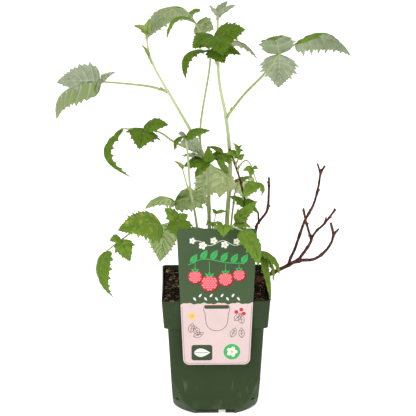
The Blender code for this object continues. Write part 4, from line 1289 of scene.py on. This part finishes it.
def add_sprig(shell, front):
    """A printed branch with leaves and berries across the card's upper field."""
    stem = [(-33 + 66 * i / 22, 205 - 0.013 * (i - 11) ** 2 * 4 + 2.5 * math.sin(i / 3.2))
            for i in range(23)]
    add_line(shell, stem, 1.1, front, GREEN)
    for x, z in stem[1:22:4]:
        add_plate(shell, leaf_shape(x, z, 14, 7.5, 58), front - INK, GREEN)
        add_line(shell, [(x, z), (x + 6.4, z + 10.2)], 0.45, front - 2 * INK, SLOT)
    for x, z, radius in BERRIES:
        add_line(shell, [(x, 203), (x, z + radius - 1)], 0.7, front, GREEN)
        add_berry(shell, x, z, radius, front)
        for heading in (40, 90, 140):
            add_plate(shell, leaf_shape(x, z + radius * 0.75, radius * 0.7, 2.6, heading),
                      front - 3 * INK, GREEN)


def add_blossoms(shell, front):
    """White blossoms along the card's top, and a band of small white leaves lower down."""
    vine = [(-30 + 2 * i, 226 + 3 * math.sin(i / 2.4)) for i in range(31)]
    add_line(shell, vine, 0.6, front, WHITE)
    for x, z, radius in BLOSSOMS:
        add_plate(shell, blossom(x, z, radius), front - INK, WHITE)
        add_plate(shell, disc(x, z, radius * 0.26, 12), front - 2 * INK, YELLOW)
    for number in range(9):
        heading = 55 if number % 2 else -55
        add_plate(shell, leaf_shape(6.5 * number - 27, BAND_LEVEL, 5.5, 2.4, heading), front, WHITE)


def add_tongue(shell, front):
    """The fine line of the punched tongue, and the slot above it, drawn as a darker green strip of
    painted shade with a wine strip of painted shadow along its top.
    """
    tongue = [(-x, z) for x, z in TONGUE_FLANK]
    tongue += arc(0, 128.0, 13.0, 180, 360)
    tongue += TONGUE_FLANK[::-1]
    tongue = [(CARD_CENTRE + x, z) for x, z in tongue]
    add_line(shell, tongue, 0.6, front, LINE)
    # Painted shade for the slot, and a wine strip of painted shadow under its upper edge.
    add_plate(shell, rounded_panel(CARD_CENTRE, 145.6, 29, 4.6, 1.6), front, SLOT)
    add_plate(shell, rounded_panel(CARD_CENTRE, 147.4, 29, 0.9, 0.4), front - INK, WINE)


def add_drawn_leaf(shell, x, z, heading, front):
    """A leaf in fine lines, with a midrib and two pairs of side veins."""
    way = math.radians(heading)
    outline = leaf_shape(x, z, DRAWN_LEAF_LENGTH, 7, heading)
    add_line(shell, outline, 0.55, front, LINE, closed=True)
    add_line(shell, [(x, z), polar(x, z, 10, way)], 0.5, front, LINE)
    for share in (0.35, 0.6):
        foot = polar(x, z, DRAWN_LEAF_LENGTH * share, way)
        for turn in (way + 0.8, way - 0.8):
            add_line(shell, [foot, polar(*foot, 2.6, turn)], 0.4, front, LINE)


def add_small_motifs(shell, front):
    """Small motifs on the card's lower field: a sun, drawn leaves, dots and two panels."""
    add_plate(shell, disc(*SUN, 3.4, 24), front, YELLOW)
    for ray in range(8):
        way = math.tau * ray / 8
        add_line(shell, [polar(*SUN, 4.6, way), polar(*SUN, 6.8, way)], 0.6, front, YELLOW)
    for x, z, heading in DRAWN_LEAVES:
        add_drawn_leaf(shell, x, z, heading, front)
    for x, z in RED_DOTS:
        add_plate(shell, disc(x, z, 2.4, 16), front, RED)
    x, z = LEAF_PANEL
    add_plate(shell, rounded_panel(x, z, 25, 20, 3.0), front, DARK)
    add_plate(shell, leaf_shape(x - 10, z, 20, 11, 0), front - INK, WHITE)
    add_line(shell, [(x - 10, z), (x + 7, z)], 0.6, front - 2 * INK, DARK)
    add_plate(shell, disc(*BLOSSOM_PANEL, 10, 36), front, GREEN)
    add_plate(shell, blossom(*BLOSSOM_PANEL, 6.8), front - INK, WHITE)
    add_plate(shell, disc(*BLOSSOM_PANEL, 1.8, 14), front - 2 * INK, YELLOW)


def lower_field():
    """The outline of the card's lower field, with a waved upper edge."""
    right, left = lower_outline(0.3, 12, FIELD_LEVEL)
    half = card_half(FIELD_LEVEL) - 0.35
    edge = []
    for step in range(61):
        x = CARD_CENTRE + half * (1 - 2 * step / 60)
        edge.append((x, FIELD_LEVEL + 0.8 * math.sin(x / 3.1) + 0.5 * math.sin(x / 1.3)))
    return right + edge + left


def make_card_print(settings):
    """The card's printed fields, border and motifs, a plain pattern of berries and leaves."""
    shell = Shell()
    front = CARD_FRONT - INK
    add_plate(shell, lower_field(), front, BLUSH)
    right, left = lower_outline(2.0, 8, FIELD_LEVEL - 3)
    top = FIELD_LEVEL - 4
    border = [(right[-1][0] + 3.0, top)] + right[::-1] + left[::-1] + [(left[0][0] - 3.0, top)]
    add_line(shell, border, 0.35, front - INK, LINE)
    add_sprig(shell, front)
    add_blossoms(shell, front)
    add_tongue(shell, front - INK)
    add_small_motifs(shell, front - INK)
    # slot_green also gives the slot's painted shade, and ink_wine the painted shadow along the
    # slot's top.
    inks = [("ink_dark_green", tinted(settings.field, 0.75)), ("ink_red", settings.berry),
            ("ink_green", settings.leaf), ("ink_white", settings.white),
            ("ink_line", settings.line), ("ink_wine", tinted(settings.berry, 0.35)),
            ("ink_rose", linear(*ROSE_TINT)), ("ink_yellow", linear(*YELLOW_TINT)),
            ("slot_green", tinted(settings.field, 0.8)), ("ink_blush", settings.blush)]
    materials = [printed_material(name, colour) for name, colour in inks]
    piece = piece_from(shell, "card_print", materials, smooth=False)
    settle(piece, "card_green", "label_card")


def smooth_route(points, step):
    """Points along a smooth curve through the given ones, about one step apart."""
    knots = [Vector(p) for p in points]
    ends = [2 * knots[0] - knots[1]] + knots + [2 * knots[-1] - knots[-2]]
    route = []
    for before, start, end, after in zip(ends, ends[1:], ends[2:], ends[3:]):
        count = max(1, round((end - start).length / step))
        for i in range(count):
            t = i / count
            route.append(0.5 * (2 * start + (end - before) * t
                                + (2 * before - 5 * start + 4 * end - after) * t ** 2
                                + (3 * start - before - 3 * end + after) * t ** 3))
    return route + [knots[-1]]


def lengths_along(route):
    """How far along the route each point is, in millimetres."""
    run = [0.0]
    for a, b in zip(route, route[1:]):
        run.append(run[-1] + (b - a).length)
    return run


def place_on(route, share):
    """The point of a route that lies a given share of its length along it."""
    run = lengths_along(route)
    goal = share * run[-1]
    for i in range(1, len(route)):
        if goal <= run[i]:
            return route[i - 1].lerp(route[i], (goal - run[i - 1]) / (run[i] - run[i - 1]))
    return route[-1].copy()


def nearest_on(route, point):
    """The point of a route closest to a given one, and its distance along the route."""
    run = lengths_along(route)
    best = min(range(len(route)), key=lambda i: (route[i] - point).length)
    return route[best].copy(), run[best]


def directions_along(route):
    """At each point of a route the way it runs, and two ways across it."""
    side = None
    frames = []
    for i in range(len(route)):
        way = (route[min(i + 1, len(route) - 1)] - route[max(i - 1, 0)]).normalized()
        side = way.orthogonal() if side is None else side - way * side.dot(way)
        side.normalize()
        frames.append((way, side.copy(), way.cross(side)))
    return frames


def add_tube(shell, route, radius_at, sides, finish=0, relief=None, cap=None):
    """A round limb along a route. Relief gives the skin's height at a place and an angle."""
    run = lengths_along(route)
    rings = []
    for place, length, (_, side, up) in zip(route, run, directions_along(route)):
        radius = radius_at(length / run[-1])
        ring = []
        for j in range(sides):
            angle = math.tau * j / sides
            reach = radius * (1 + relief(length, angle, place) if relief else 1)
            ring.append(place + (side * math.cos(angle) + up * math.sin(angle)) * reach)
        rings.append(ring)
    shell.add_rings(rings, finish, finish, finish if cap is None else cap)


def taper(thick):
    """The radius along a limb that thins evenly from one end to the other."""
    return lambda share: thick[0] + (thick[1] - thick[0]) * share


def limb_routes():
    """The line of every limb. A branch starts on the line of the limb that carries it."""
    routes = {}
    for limb in LIMBS:
        points = [Vector(p) for p in limb.route]
        if limb.carrier:
            points[0], _ = nearest_on(routes[limb.carrier], points[0])
        routes[limb.name] = smooth_route(points, ROUTE_STEP)
    return routes


def knuckles_of(name, routes):
    """Where leaves and branches leave a limb, as lengths along it."""
    leavers = [leaf.stalk[0] for leaf in LEAVES if leaf.carrier == name]
    leavers += [limb.route[0] for limb in LIMBS if limb.carrier == name]
    return [nearest_on(routes[name], Vector(point))[1] for point in leavers]


def swelling(length, knuckles, reach):
    """How much a limb is swollen at a length, from 0 to about 1."""
    return sum(math.exp(-((length - knuckle) / reach) ** 2) for knuckle in knuckles)


def cane_relief(knuckles, settings):
    """Five soft ridges, knuckles and slight unevenness."""
    def relief(length, angle, place):
        ridges = settings.ridge * math.cos(5 * angle + length / 60)
        uneven = 0.05 * noise.noise(place / 9.0)
        return ridges + uneven + settings.knuckle * swelling(length, knuckles, 3.0)
    return relief


def wood_relief(knuckles, settings):
    """Knuckles, scars and rough bark."""
    def relief(length, angle, place):
        spot = place / 2.6 + Vector((math.cos(angle), math.sin(angle), 0)) * 0.9
        rough = settings.relief * noise.noise(spot)
        rough += settings.relief * 0.6 * noise.noise(spot * 2.7)
        return rough + 0.3 * swelling(length, knuckles, 2.4)
    return relief


def make_canes(settings):
    """The green canes and shoots, each with its ridges and its knuckles."""
    routes = limb_routes()
    skin = cane_material(settings)
    for limb in LIMBS:
        if limb.colour != "cane_green":
            continue
        shell = Shell()
        route = routes[limb.name]
        knuckles = knuckles_of(limb.name, routes)
        thick = [radius * CANE_FULLNESS for radius in limb.thick]
        add_tube(shell, route, taper(thick), 20, relief=cane_relief(knuckles, settings))
        piece = piece_from(shell, f"{limb.name}_skin", [skin])
        settle(piece, "cane_green", limb.name)


def make_prickles(settings):
    """Fine prickles that stand out of the canes, closer together low down."""
    chance = random.Random(31)
    routes = limb_routes()
    canes = [limb for limb in LIMBS if limb.colour == "cane_green"]
    shell = Shell()
    for _ in range(settings.prickles):
        limb = chance.choice(canes)
        route = routes[limb.name]
        frames = directions_along(route)
        i = int(len(route) * chance.random() ** 1.6)
        radius = taper(limb.thick)(i / len(route))
        if route[i].z < SOIL_TOP:
            continue
        way, side, up = frames[i]
        angle = chance.uniform(0, math.tau)
        out = side * math.cos(angle) + up * math.sin(angle)
        foot = route[i] + out * radius * 0.9
        length = chance.uniform(*PRICKLE_LENGTHS)
        tip = foot + out * length - way * length * 0.4
        across = out.cross(way)
        start = shell.add_points([foot + across * 0.16, foot + way * 0.2, foot - across * 0.16,
                                  foot - way * 0.2, tip])
        for j in range(4):
            shell.add_face((start + j, start + (j + 1) % 4, start + 4))
    material = stalk_material(bpy.context.scene.raspberry_leaves)
    piece = piece_from(shell, "cane_prickles", [material])
    settle(piece, "cane_green")


def add_bud(shell, route, i, radius, turn, finish):
    """A small pointed bud that lies along a branch, on its scar."""
    way, side, up = directions_along(route)[i]
    out = side * math.cos(turn) + up * math.sin(turn)
    foot = route[i] + out * radius * 0.75
    tip = foot + way * BUD_LENGTH + out * BUD_REACH

    def girth(share):
        return BUD_GIRTH * radius * (1 - share) ** 0.7 * (0.6 + share) + 0.08

    add_tube(shell, [foot.lerp(tip, s) for s in (0.0, 0.2, 0.5, 0.8, 1.0)], girth, 8, finish)


def make_old_wood(settings):
    """The pruned wood: rough bark, buds on their scars, stubs and cut ends."""
    routes = limb_routes()
    bark, thin_bark = bark_material(settings), thin_bark_material(settings)
    cut = cut_wood_material(settings)
    for limb in LIMBS:
        if limb.colour != "old_wood":
            continue
        shell = Shell()
        route = routes[limb.name]
        run = lengths_along(route)[-1]
        nodes = [run * share for share in BUD_SHARES]
        knuckles = knuckles_of(limb.name, routes) + nodes
        add_tube(shell, route, taper(limb.thick), 18, relief=wood_relief(knuckles, settings),
                 cap=CUT)
        for number, length in enumerate(nodes):
            i = min(len(route) - 2, int(len(route) * length / run))
            add_bud(shell, route, i, taper(limb.thick)(length / run), 2.4 * number + 0.7, BARK)
        for foot, tip, radius in limb.spurs:
            stub = [Vector(foot).lerp(Vector(tip), step / 6) for step in range(7)]
            add_tube(shell, stub, taper((radius * 1.15, radius * 0.95)), 14,
                     relief=wood_relief([0.0], settings), cap=CUT)
        skin = thin_bark if limb.name == "old_cane_thin" else bark
        piece = piece_from(shell, f"{limb.name}_bark", [skin, cut])
        keep_sharp(piece, BARK_SHARP)
        settle(piece, "old_wood", limb.name)


def blade_outline(t):
    """Half the width of a leaflet at t along it: round at the base, drawn out at the tip."""
    widest = BASE_FULLNESS / (BASE_FULLNESS + TIP_TAPER)
    peak = widest ** BASE_FULLNESS * (1 - widest) ** TIP_TAPER
    return t ** BASE_FULLNESS * (1 - t) ** TIP_TAPER / peak


def blade_frame(blade, root):
    """The leaflet's length and its forward, side and upward directions."""
    line = Vector(blade.tip) - root
    forward = line.normalized()
    hint = Vector(blade.face)
    up = (hint - forward * hint.dot(forward)).normalized()
    return line.length, forward, forward.cross(up), up


def tooth_height(phase, depth):
    """How far the edge stands out: a large tooth at each vein and a small one between."""
    if phase == 0:
        return depth
    if phase <= 0.5:
        return depth * SMALL_TOOTH * phase / 0.5
    return depth * ((phase - 0.5) / 0.5) ** 1.3


def leaflet_columns(blade):
    """Places from the midrib to the edge at which a leaflet is worked out."""
    if blade.width > 18:
        return (0.06, 0.18, 0.32, 0.47, 0.62, 0.76, 0.88, 1.0)
    return (0.1, 0.35, 0.6, 0.82, 1.0)


def edge_relief(a, root_share, half, waves, rib):
    """How high a leaflet arches, waves and rumples at a share of the way to one edge."""
    out = abs(a)
    arch = BLADE_ARCH * half * out * (1 - out)
    angle = math.tau * WAVES_ALONG * root_share + waves[0 if a < 0 else 1]
    wave = half * EDGE_WAVE * out * out * math.sin(angle)
    rumple = RUMPLE * noise.noise(rib / RUMPLE_SIZE + Vector((waves[2], 0, a * 2)))
    return arch + wave + rumple * out


def leaflet_surface(blade, root, settings, chance):
    """The points of a leaflet's middle surface in rows that follow its side veins,
    and at each point how much of a vein it is. Each tooth has its own depth."""
    length, forward, side, up = blade_frame(blade, root)
    pairs = min(MOST_VEIN_PAIRS, max(LEAST_VEIN_PAIRS, round(length / VEIN_SPACING)))
    steps = 6 if blade.width > 10 else 4
    columns = leaflet_columns(blade)
    across = [-a for a in reversed(columns)] + [0.0] + list(columns)
    fold = math.radians(blade.fold)
    waves = [chance.uniform(0, math.tau) for _ in range(3)]
    bites = [settings.tooth * chance.uniform(*TOOTH_RANGE) for _ in range(2 * pairs + 2)]
    pleat = settings.pleat * length / pairs
    grid, marks = [], []
    for i in range(pairs * steps + 1):
        root_share = i / (pairs * steps)
        phase = (i % steps) / steps
        sweep = VEIN_SWEEP * math.sin(math.pi * root_share)
        half = max(blade.width / 2 * blade_outline(root_share + sweep), LEAST_HALF)
        row, row_marks = [], []
        for a in across:
            out = abs(a)
            bite = bites[2 * ((i + steps // 2) // steps) + (1 if a < 0 else 0)]
            tooth = tooth_height(phase, bite) - settings.tooth * 0.4
            edge = out ** 5 * min(1.0, half / LEAST_HALF - 1)
            lean = TOOTH_LEAN * max(0.0, tooth) * edge / pairs
            t = min(1.0, root_share + sweep * out ** 1.3 + lean)
            distance = a * half * (1 + tooth * edge)
            rib = root + forward * length * t + up * length * blade.bow * 4 * t * (1 - t)
            run = (forward + up * blade.bow * 4 * (1 - 2 * t)).normalized()
            above = side.cross(run)
            turn = Matrix.Rotation(math.radians(blade.twist) * t, 3, run)
            offset = side * distance * math.cos(fold) + above * abs(distance) * math.sin(fold)
            quilt = pleat * math.sin(math.pi * phase) ** 0.8 * min(1.0, out / 0.2)
            quilt *= (1 - 0.35 * out) * min(1.0, half / 5)
            height = quilt + edge_relief(a, root_share, half, waves, rib)
            row.append(rib + turn @ (offset + above * height))
            row_marks.append(1.0 if out == 0 else (0.9 - 0.4 * out if phase == 0 else 0.0))
        grid.append(row)
        marks.append(row_marks)
    return grid, marks


def surface_normal(grid, i, j):
    """The upward direction of a surface at one of its points."""
    along = grid[min(i + 1, len(grid) - 1)][j] - grid[max(i - 1, 0)][j]
    across = grid[i][min(j + 1, len(grid[0]) - 1)] - grid[i][max(j - 1, 0)]
    return across.cross(along).normalized()


def add_leaflet(shell, blade, root, settings, chance, upper, lower, shade=0.0):
    """One leaflet of two sheets, its veins raised on the underside, joined round the edge."""
    grid, marks = leaflet_surface(blade, root, settings, chance)
    rows, count = len(grid), len(grid[0])
    thick = min(LEAF_THICK, blade.width / 60 + 0.1)
    top = len(shell.points)
    for sign in (1, -1):
        for i in range(rows):
            for j in range(count):
                rise = thick / 2
                if sign < 0:
                    taper_off = 1 - 0.8 * i / rows
                    vein_rise = MIDRIB_RISE if j == count // 2 else VEIN_RISE
                    rise += marks[i][j] * vein_rise * taper_off
                point = grid[i][j] + surface_normal(grid, i, j) * rise * sign
                shell.add_points([point], marks[i][j], shade)
    low = top + rows * count
    for i in range(rows - 1):
        for j in range(count - 1):
            a, b = i * count + j, (i + 1) * count + j
            shell.add_face((top + a, top + a + 1, top + b + 1, top + b), upper)
            shell.add_face((low + a + 1, low + a, low + b, low + b + 1), lower)
        a, b = i * count, (i + 1) * count
        shell.add_face((top + a, top + b, low + b, low + a), upper)
        a, b = a + count - 1, b + count - 1
        shell.add_face((top + b, top + a, low + a, low + b), upper)
    for j in range(count - 1):
        a, b = j, (rows - 1) * count + j
        shell.add_face((top + a + 1, top + a, low + a, low + a + 1), upper)
        shell.add_face((top + b, top + b + 1, low + b + 1, low + b), upper)


def leaf_tones(settings):
    """The materials of the upper side and the underside for each tone."""
    rib = tuple(settings.rib)
    bright, silver, sage = settings.bright, settings.silver, settings.sage
    # The lit tone's underside carries painted light, for light shining through the back leaves.
    pairs = {"silver": (bright, silver), "sage": (bright, sage), "deep": (settings.deep, silver),
             "bright": (bright, sage), "young": (settings.young, silver),
             "lit": (bright, settings.lit), "dusk": (bright, settings.dusk)}
    tones = {}
    for name, (upper, lower) in pairs.items():
        tones[name] = [
            leaf_material(f"{name}_upper", tuple(upper), rib, vein_share=0.3, roughness=0.46),
            leaf_material(f"{name}_under", tuple(lower), tinted(lower, 1.35), vein_share=0.85,
                          roughness=0.62)]
    return tones


def make_leaves(settings):
    """Every compound leaf's leaflets, toothed and pleated, one piece for each leaf."""
    routes = limb_routes()
    tones = leaf_tones(settings)
    patched = leaf_material("patched_upper", tuple(settings.bright), tuple(settings.rib),
                            vein_share=0.45, roughness=0.46, patch=tuple(settings.patch))
    for leaf in LEAVES:
        stalk = stalk_route(leaf, routes)
        shell = Shell()
        for number, blade in enumerate(leaf.blades):
            chance = random.Random(f"{leaf.name} {number}")
            upper = PATCHED if (leaf.name, number) == PATCHED_LEAFLET else UPPER
            shade = 0.3 * chance.random() + 0.3 * number / len(leaf.blades)
            shade = SHADED_LEAFLETS.get((leaf.name, number), shade)
            add_leaflet(shell, blade, place_on(stalk, blade.along), settings, chance, upper, UNDER,
                        shade)
        piece = piece_from(shell, f"{leaf.name}_leaflets", tones[leaf.tone] + [patched])
        settle(piece, leaf.colour, leaf.name)


def stalk_route(leaf, routes):
    """The line of a leaf's stalk, from the middle of the limb that carries it."""
    points = [Vector(p) for p in leaf.stalk]
    points[0], _ = nearest_on(routes[leaf.carrier], points[0])
    return smooth_route(points, STALK_STEP)


def make_stalks(settings):
    """The stalks of all leaves, each wider at its foot and grooved along its length."""
    routes = limb_routes()
    shell = Shell()
    for leaf in LEAVES:
        route = stalk_route(leaf, routes)
        total = lengths_along(route)[-1]
        first, last = leaf.thick

        def radius(share):
            flare = STALK_FLARE * math.exp(-((share * total) / FLARE_LENGTH) ** 2)
            return STALK_FULLNESS * (first + (last - first) * share) * (1 + flare)

        def groove(length, angle, place):
            return 0.06 * math.cos(2 * angle) + 0.05 * noise.noise(place / 4.0)

        add_tube(shell, route, radius, 12, relief=groove)
    piece = piece_from(shell, "leaf_stalks", [stalk_material(settings)])
    settle(piece, "leaf_green")


def make_slips(settings):
    """The narrow slips beside the foot of each longer stalk."""
    routes = limb_routes()
    shell = Shell()
    for leaf in LEAVES:
        route = stalk_route(leaf, routes)
        if lengths_along(route)[-1] < LEAST_STALK_WITH_SLIPS:
            continue
        foot = place_on(route, 0.06)
        way = (place_on(route, 0.16) - foot).normalized()
        side = way.orthogonal().normalized()
        for sign in (1, -1):
            tip = foot + way * SLIP_LENGTH + side * sign * SLIP_SPREAD
            slip = Blade(0, tuple(tip), SLIP_WIDTH, 0.1, tuple(way.cross(side)))
            add_leaflet(shell, slip, foot, settings, random.Random(5), UPPER, UPPER)
    young = leaf_material("slip_skin", tuple(settings.young), tuple(settings.rib),
                          vein_share=0.3, roughness=0.5)
    piece = piece_from(shell, "leaf_slips", [young])
    settle(piece, "leaf_green")


def make_floor(settings):
    """A wide pale floor under the pot."""
    bm = bmesh.new()
    bmesh.ops.create_circle(bm, cap_ends=True, segments=96, radius=6.0)
    mesh = bpy.data.meshes.new("studio_floor")
    bm.to_mesh(mesh)
    bm.free()
    floor = bpy.data.objects.new("studio_floor", mesh)
    bpy.context.scene.collection.objects.link(floor)
    material, tree, shader = new_material("studio_paper", 0.9)
    paper = blend_colours(tree, noise_field(tree, 3.0), tinted(settings.floor, 0.99),
                          tuple(settings.floor))
    set_colour(tree, shader, paper)
    shader.inputs["Emission Color"].default_value = (*settings.floor, 1.0)
    shader.inputs["Emission Strength"].default_value = settings.glow
    mesh.materials.append(material)


def add_light(name, place, goal, size, power):
    """A square soft light that looks at a goal."""
    lamp = bpy.data.lights.new(name, "AREA")
    lamp.shape = "SQUARE"
    lamp.size = size
    lamp.energy = power
    light = bpy.data.objects.new(name, lamp)
    light.location = place
    light.rotation_euler = (Vector(goal) - Vector(place)).to_track_quat("-Z", "Y").to_euler()
    bpy.context.scene.collection.objects.link(light)


def make_lights(settings):
    """Soft light from high on the left, a weaker one on the right and light all round."""
    add_light("key_light", (-1.1, -1.5, 1.7), LIGHT_GOAL, 1.4, settings.key)
    add_light("fill_light", (1.5, -1.2, 1.0), LIGHT_GOAL, 1.6, settings.fill)
    world = bpy.data.worlds.new("studio")
    world.use_nodes = True
    background = world.node_tree.nodes["Background"]
    background.inputs["Color"].default_value = (1.0, 1.0, 1.0, 1.0)
    background.inputs["Strength"].default_value = settings.sky
    bpy.context.scene.world = world


def make_camera():
    """The camera of the picture: a long lens, looking down a little from the front."""
    elevation, yaw = math.radians(CAMERA_ELEVATION), math.radians(CAMERA_YAW)
    right = Vector((math.cos(yaw), -math.sin(yaw), 0.0))
    look = Vector((math.cos(elevation) * math.sin(yaw), math.cos(elevation) * math.cos(yaw),
                   -math.sin(elevation)))
    up = right.cross(look)
    data = bpy.data.cameras.new("camera")
    data.lens = CAMERA_LENS
    data.sensor_width = SENSOR_WIDTH
    camera = bpy.data.objects.new("camera", data)
    camera.matrix_world = Matrix((right, up, -look)).transposed().to_4x4()
    camera.location = CAMERA_PLACE
    bpy.context.scene.collection.objects.link(camera)
    bpy.context.scene.camera = camera
    bpy.context.scene.view_settings.view_transform = "Standard"


class RASPBERRY_OT_pot(Operator):
    """Make the square pot with its collar, feet and drains"""

    bl_idname = "raspberry.pot"
    bl_label = "Pot"

    def execute(self, context):
        make_pot(context.scene.raspberry_pot)
        return {"FINISHED"}


class RASPBERRY_OT_soil(Operator):
    """Make the peat with its loose crumbs and fibres"""

    bl_idname = "raspberry.soil"
    bl_label = "Soil"

    def execute(self, context):
        settings = context.scene.raspberry_soil
        make_soil(settings)
        make_crumbs(settings)
        make_fibres(settings)
        return {"FINISHED"}


class RASPBERRY_OT_card(Operator):
    """Make the card and its printed pattern"""

    bl_idname = "raspberry.card"
    bl_label = "Card"

    def execute(self, context):
        settings = context.scene.raspberry_card
        make_card_plate(settings)
        make_card_print(settings)
        return {"FINISHED"}


class RASPBERRY_OT_canes(Operator):
    """Make the green canes with their fine prickles"""

    bl_idname = "raspberry.canes"
    bl_label = "Canes"

    def execute(self, context):
        settings = context.scene.raspberry_canes
        make_canes(settings)
        make_prickles(settings)
        return {"FINISHED"}


class RASPBERRY_OT_old_wood(Operator):
    """Make the pruned old wood"""

    bl_idname = "raspberry.old_wood"
    bl_label = "Old wood"

    def execute(self, context):
        make_old_wood(context.scene.raspberry_wood)
        return {"FINISHED"}


class RASPBERRY_OT_leaves(Operator):
    """Make all leaves with their stalks"""

    bl_idname = "raspberry.leaves"
    bl_label = "Leaves"

    def execute(self, context):
        settings = context.scene.raspberry_leaves
        make_leaves(settings)
        make_stalks(settings)
        make_slips(settings)
        return {"FINISHED"}


class RASPBERRY_OT_stage(Operator):
    """Make the floor, the lights and the camera"""

    bl_idname = "raspberry.stage"
    bl_label = "Stage"

    def execute(self, context):
        settings = context.scene.raspberry_stage
        make_floor(settings)
        make_lights(settings)
        make_camera()
        return {"FINISHED"}


GROUPS = {
    "raspberry_pot": (PotSettings, RASPBERRY_OT_pot),
    "raspberry_soil": (SoilSettings, RASPBERRY_OT_soil),
    "raspberry_card": (CardSettings, RASPBERRY_OT_card),
    "raspberry_canes": (CaneSettings, RASPBERRY_OT_canes),
    "raspberry_wood": (WoodSettings, RASPBERRY_OT_old_wood),
    "raspberry_leaves": (LeafSettings, RASPBERRY_OT_leaves),
    "raspberry_stage": (StageSettings, RASPBERRY_OT_stage),
}


class RASPBERRY_PT_panel(Panel):
    """The plant's pieces with their sizes and colours"""

    bl_label = "Raspberry plant"
    bl_idname = "RASPBERRY_PT_panel"
    bl_space_type = "VIEW_3D"
    bl_region_type = "UI"
    bl_category = "Raspberry"

    def draw(self, context):
        for key, (settings, operator) in GROUPS.items():
            section = self.layout.box()
            section.operator(operator.bl_idname)
            for name in settings.__annotations__:
                section.prop(getattr(context.scene, key), name)


def register():
    for key, (settings, operator) in GROUPS.items():
        bpy.utils.register_class(settings)
        bpy.utils.register_class(operator)
        setattr(bpy.types.Scene, key, PointerProperty(type=settings))
    bpy.utils.register_class(RASPBERRY_PT_panel)


def unregister():
    bpy.utils.unregister_class(RASPBERRY_PT_panel)
    for key, (settings, operator) in GROUPS.items():
        delattr(bpy.types.Scene, key)
        bpy.utils.unregister_class(operator)
        bpy.utils.unregister_class(settings)


def main():
    register()
    bpy.ops.raspberry.pot()
    bpy.ops.raspberry.soil()
    bpy.ops.raspberry.card()
    bpy.ops.raspberry.canes()
    bpy.ops.raspberry.old_wood()
    bpy.ops.raspberry.leaves()
    bpy.ops.raspberry.stage()


if __name__ == "__main__":
    main()
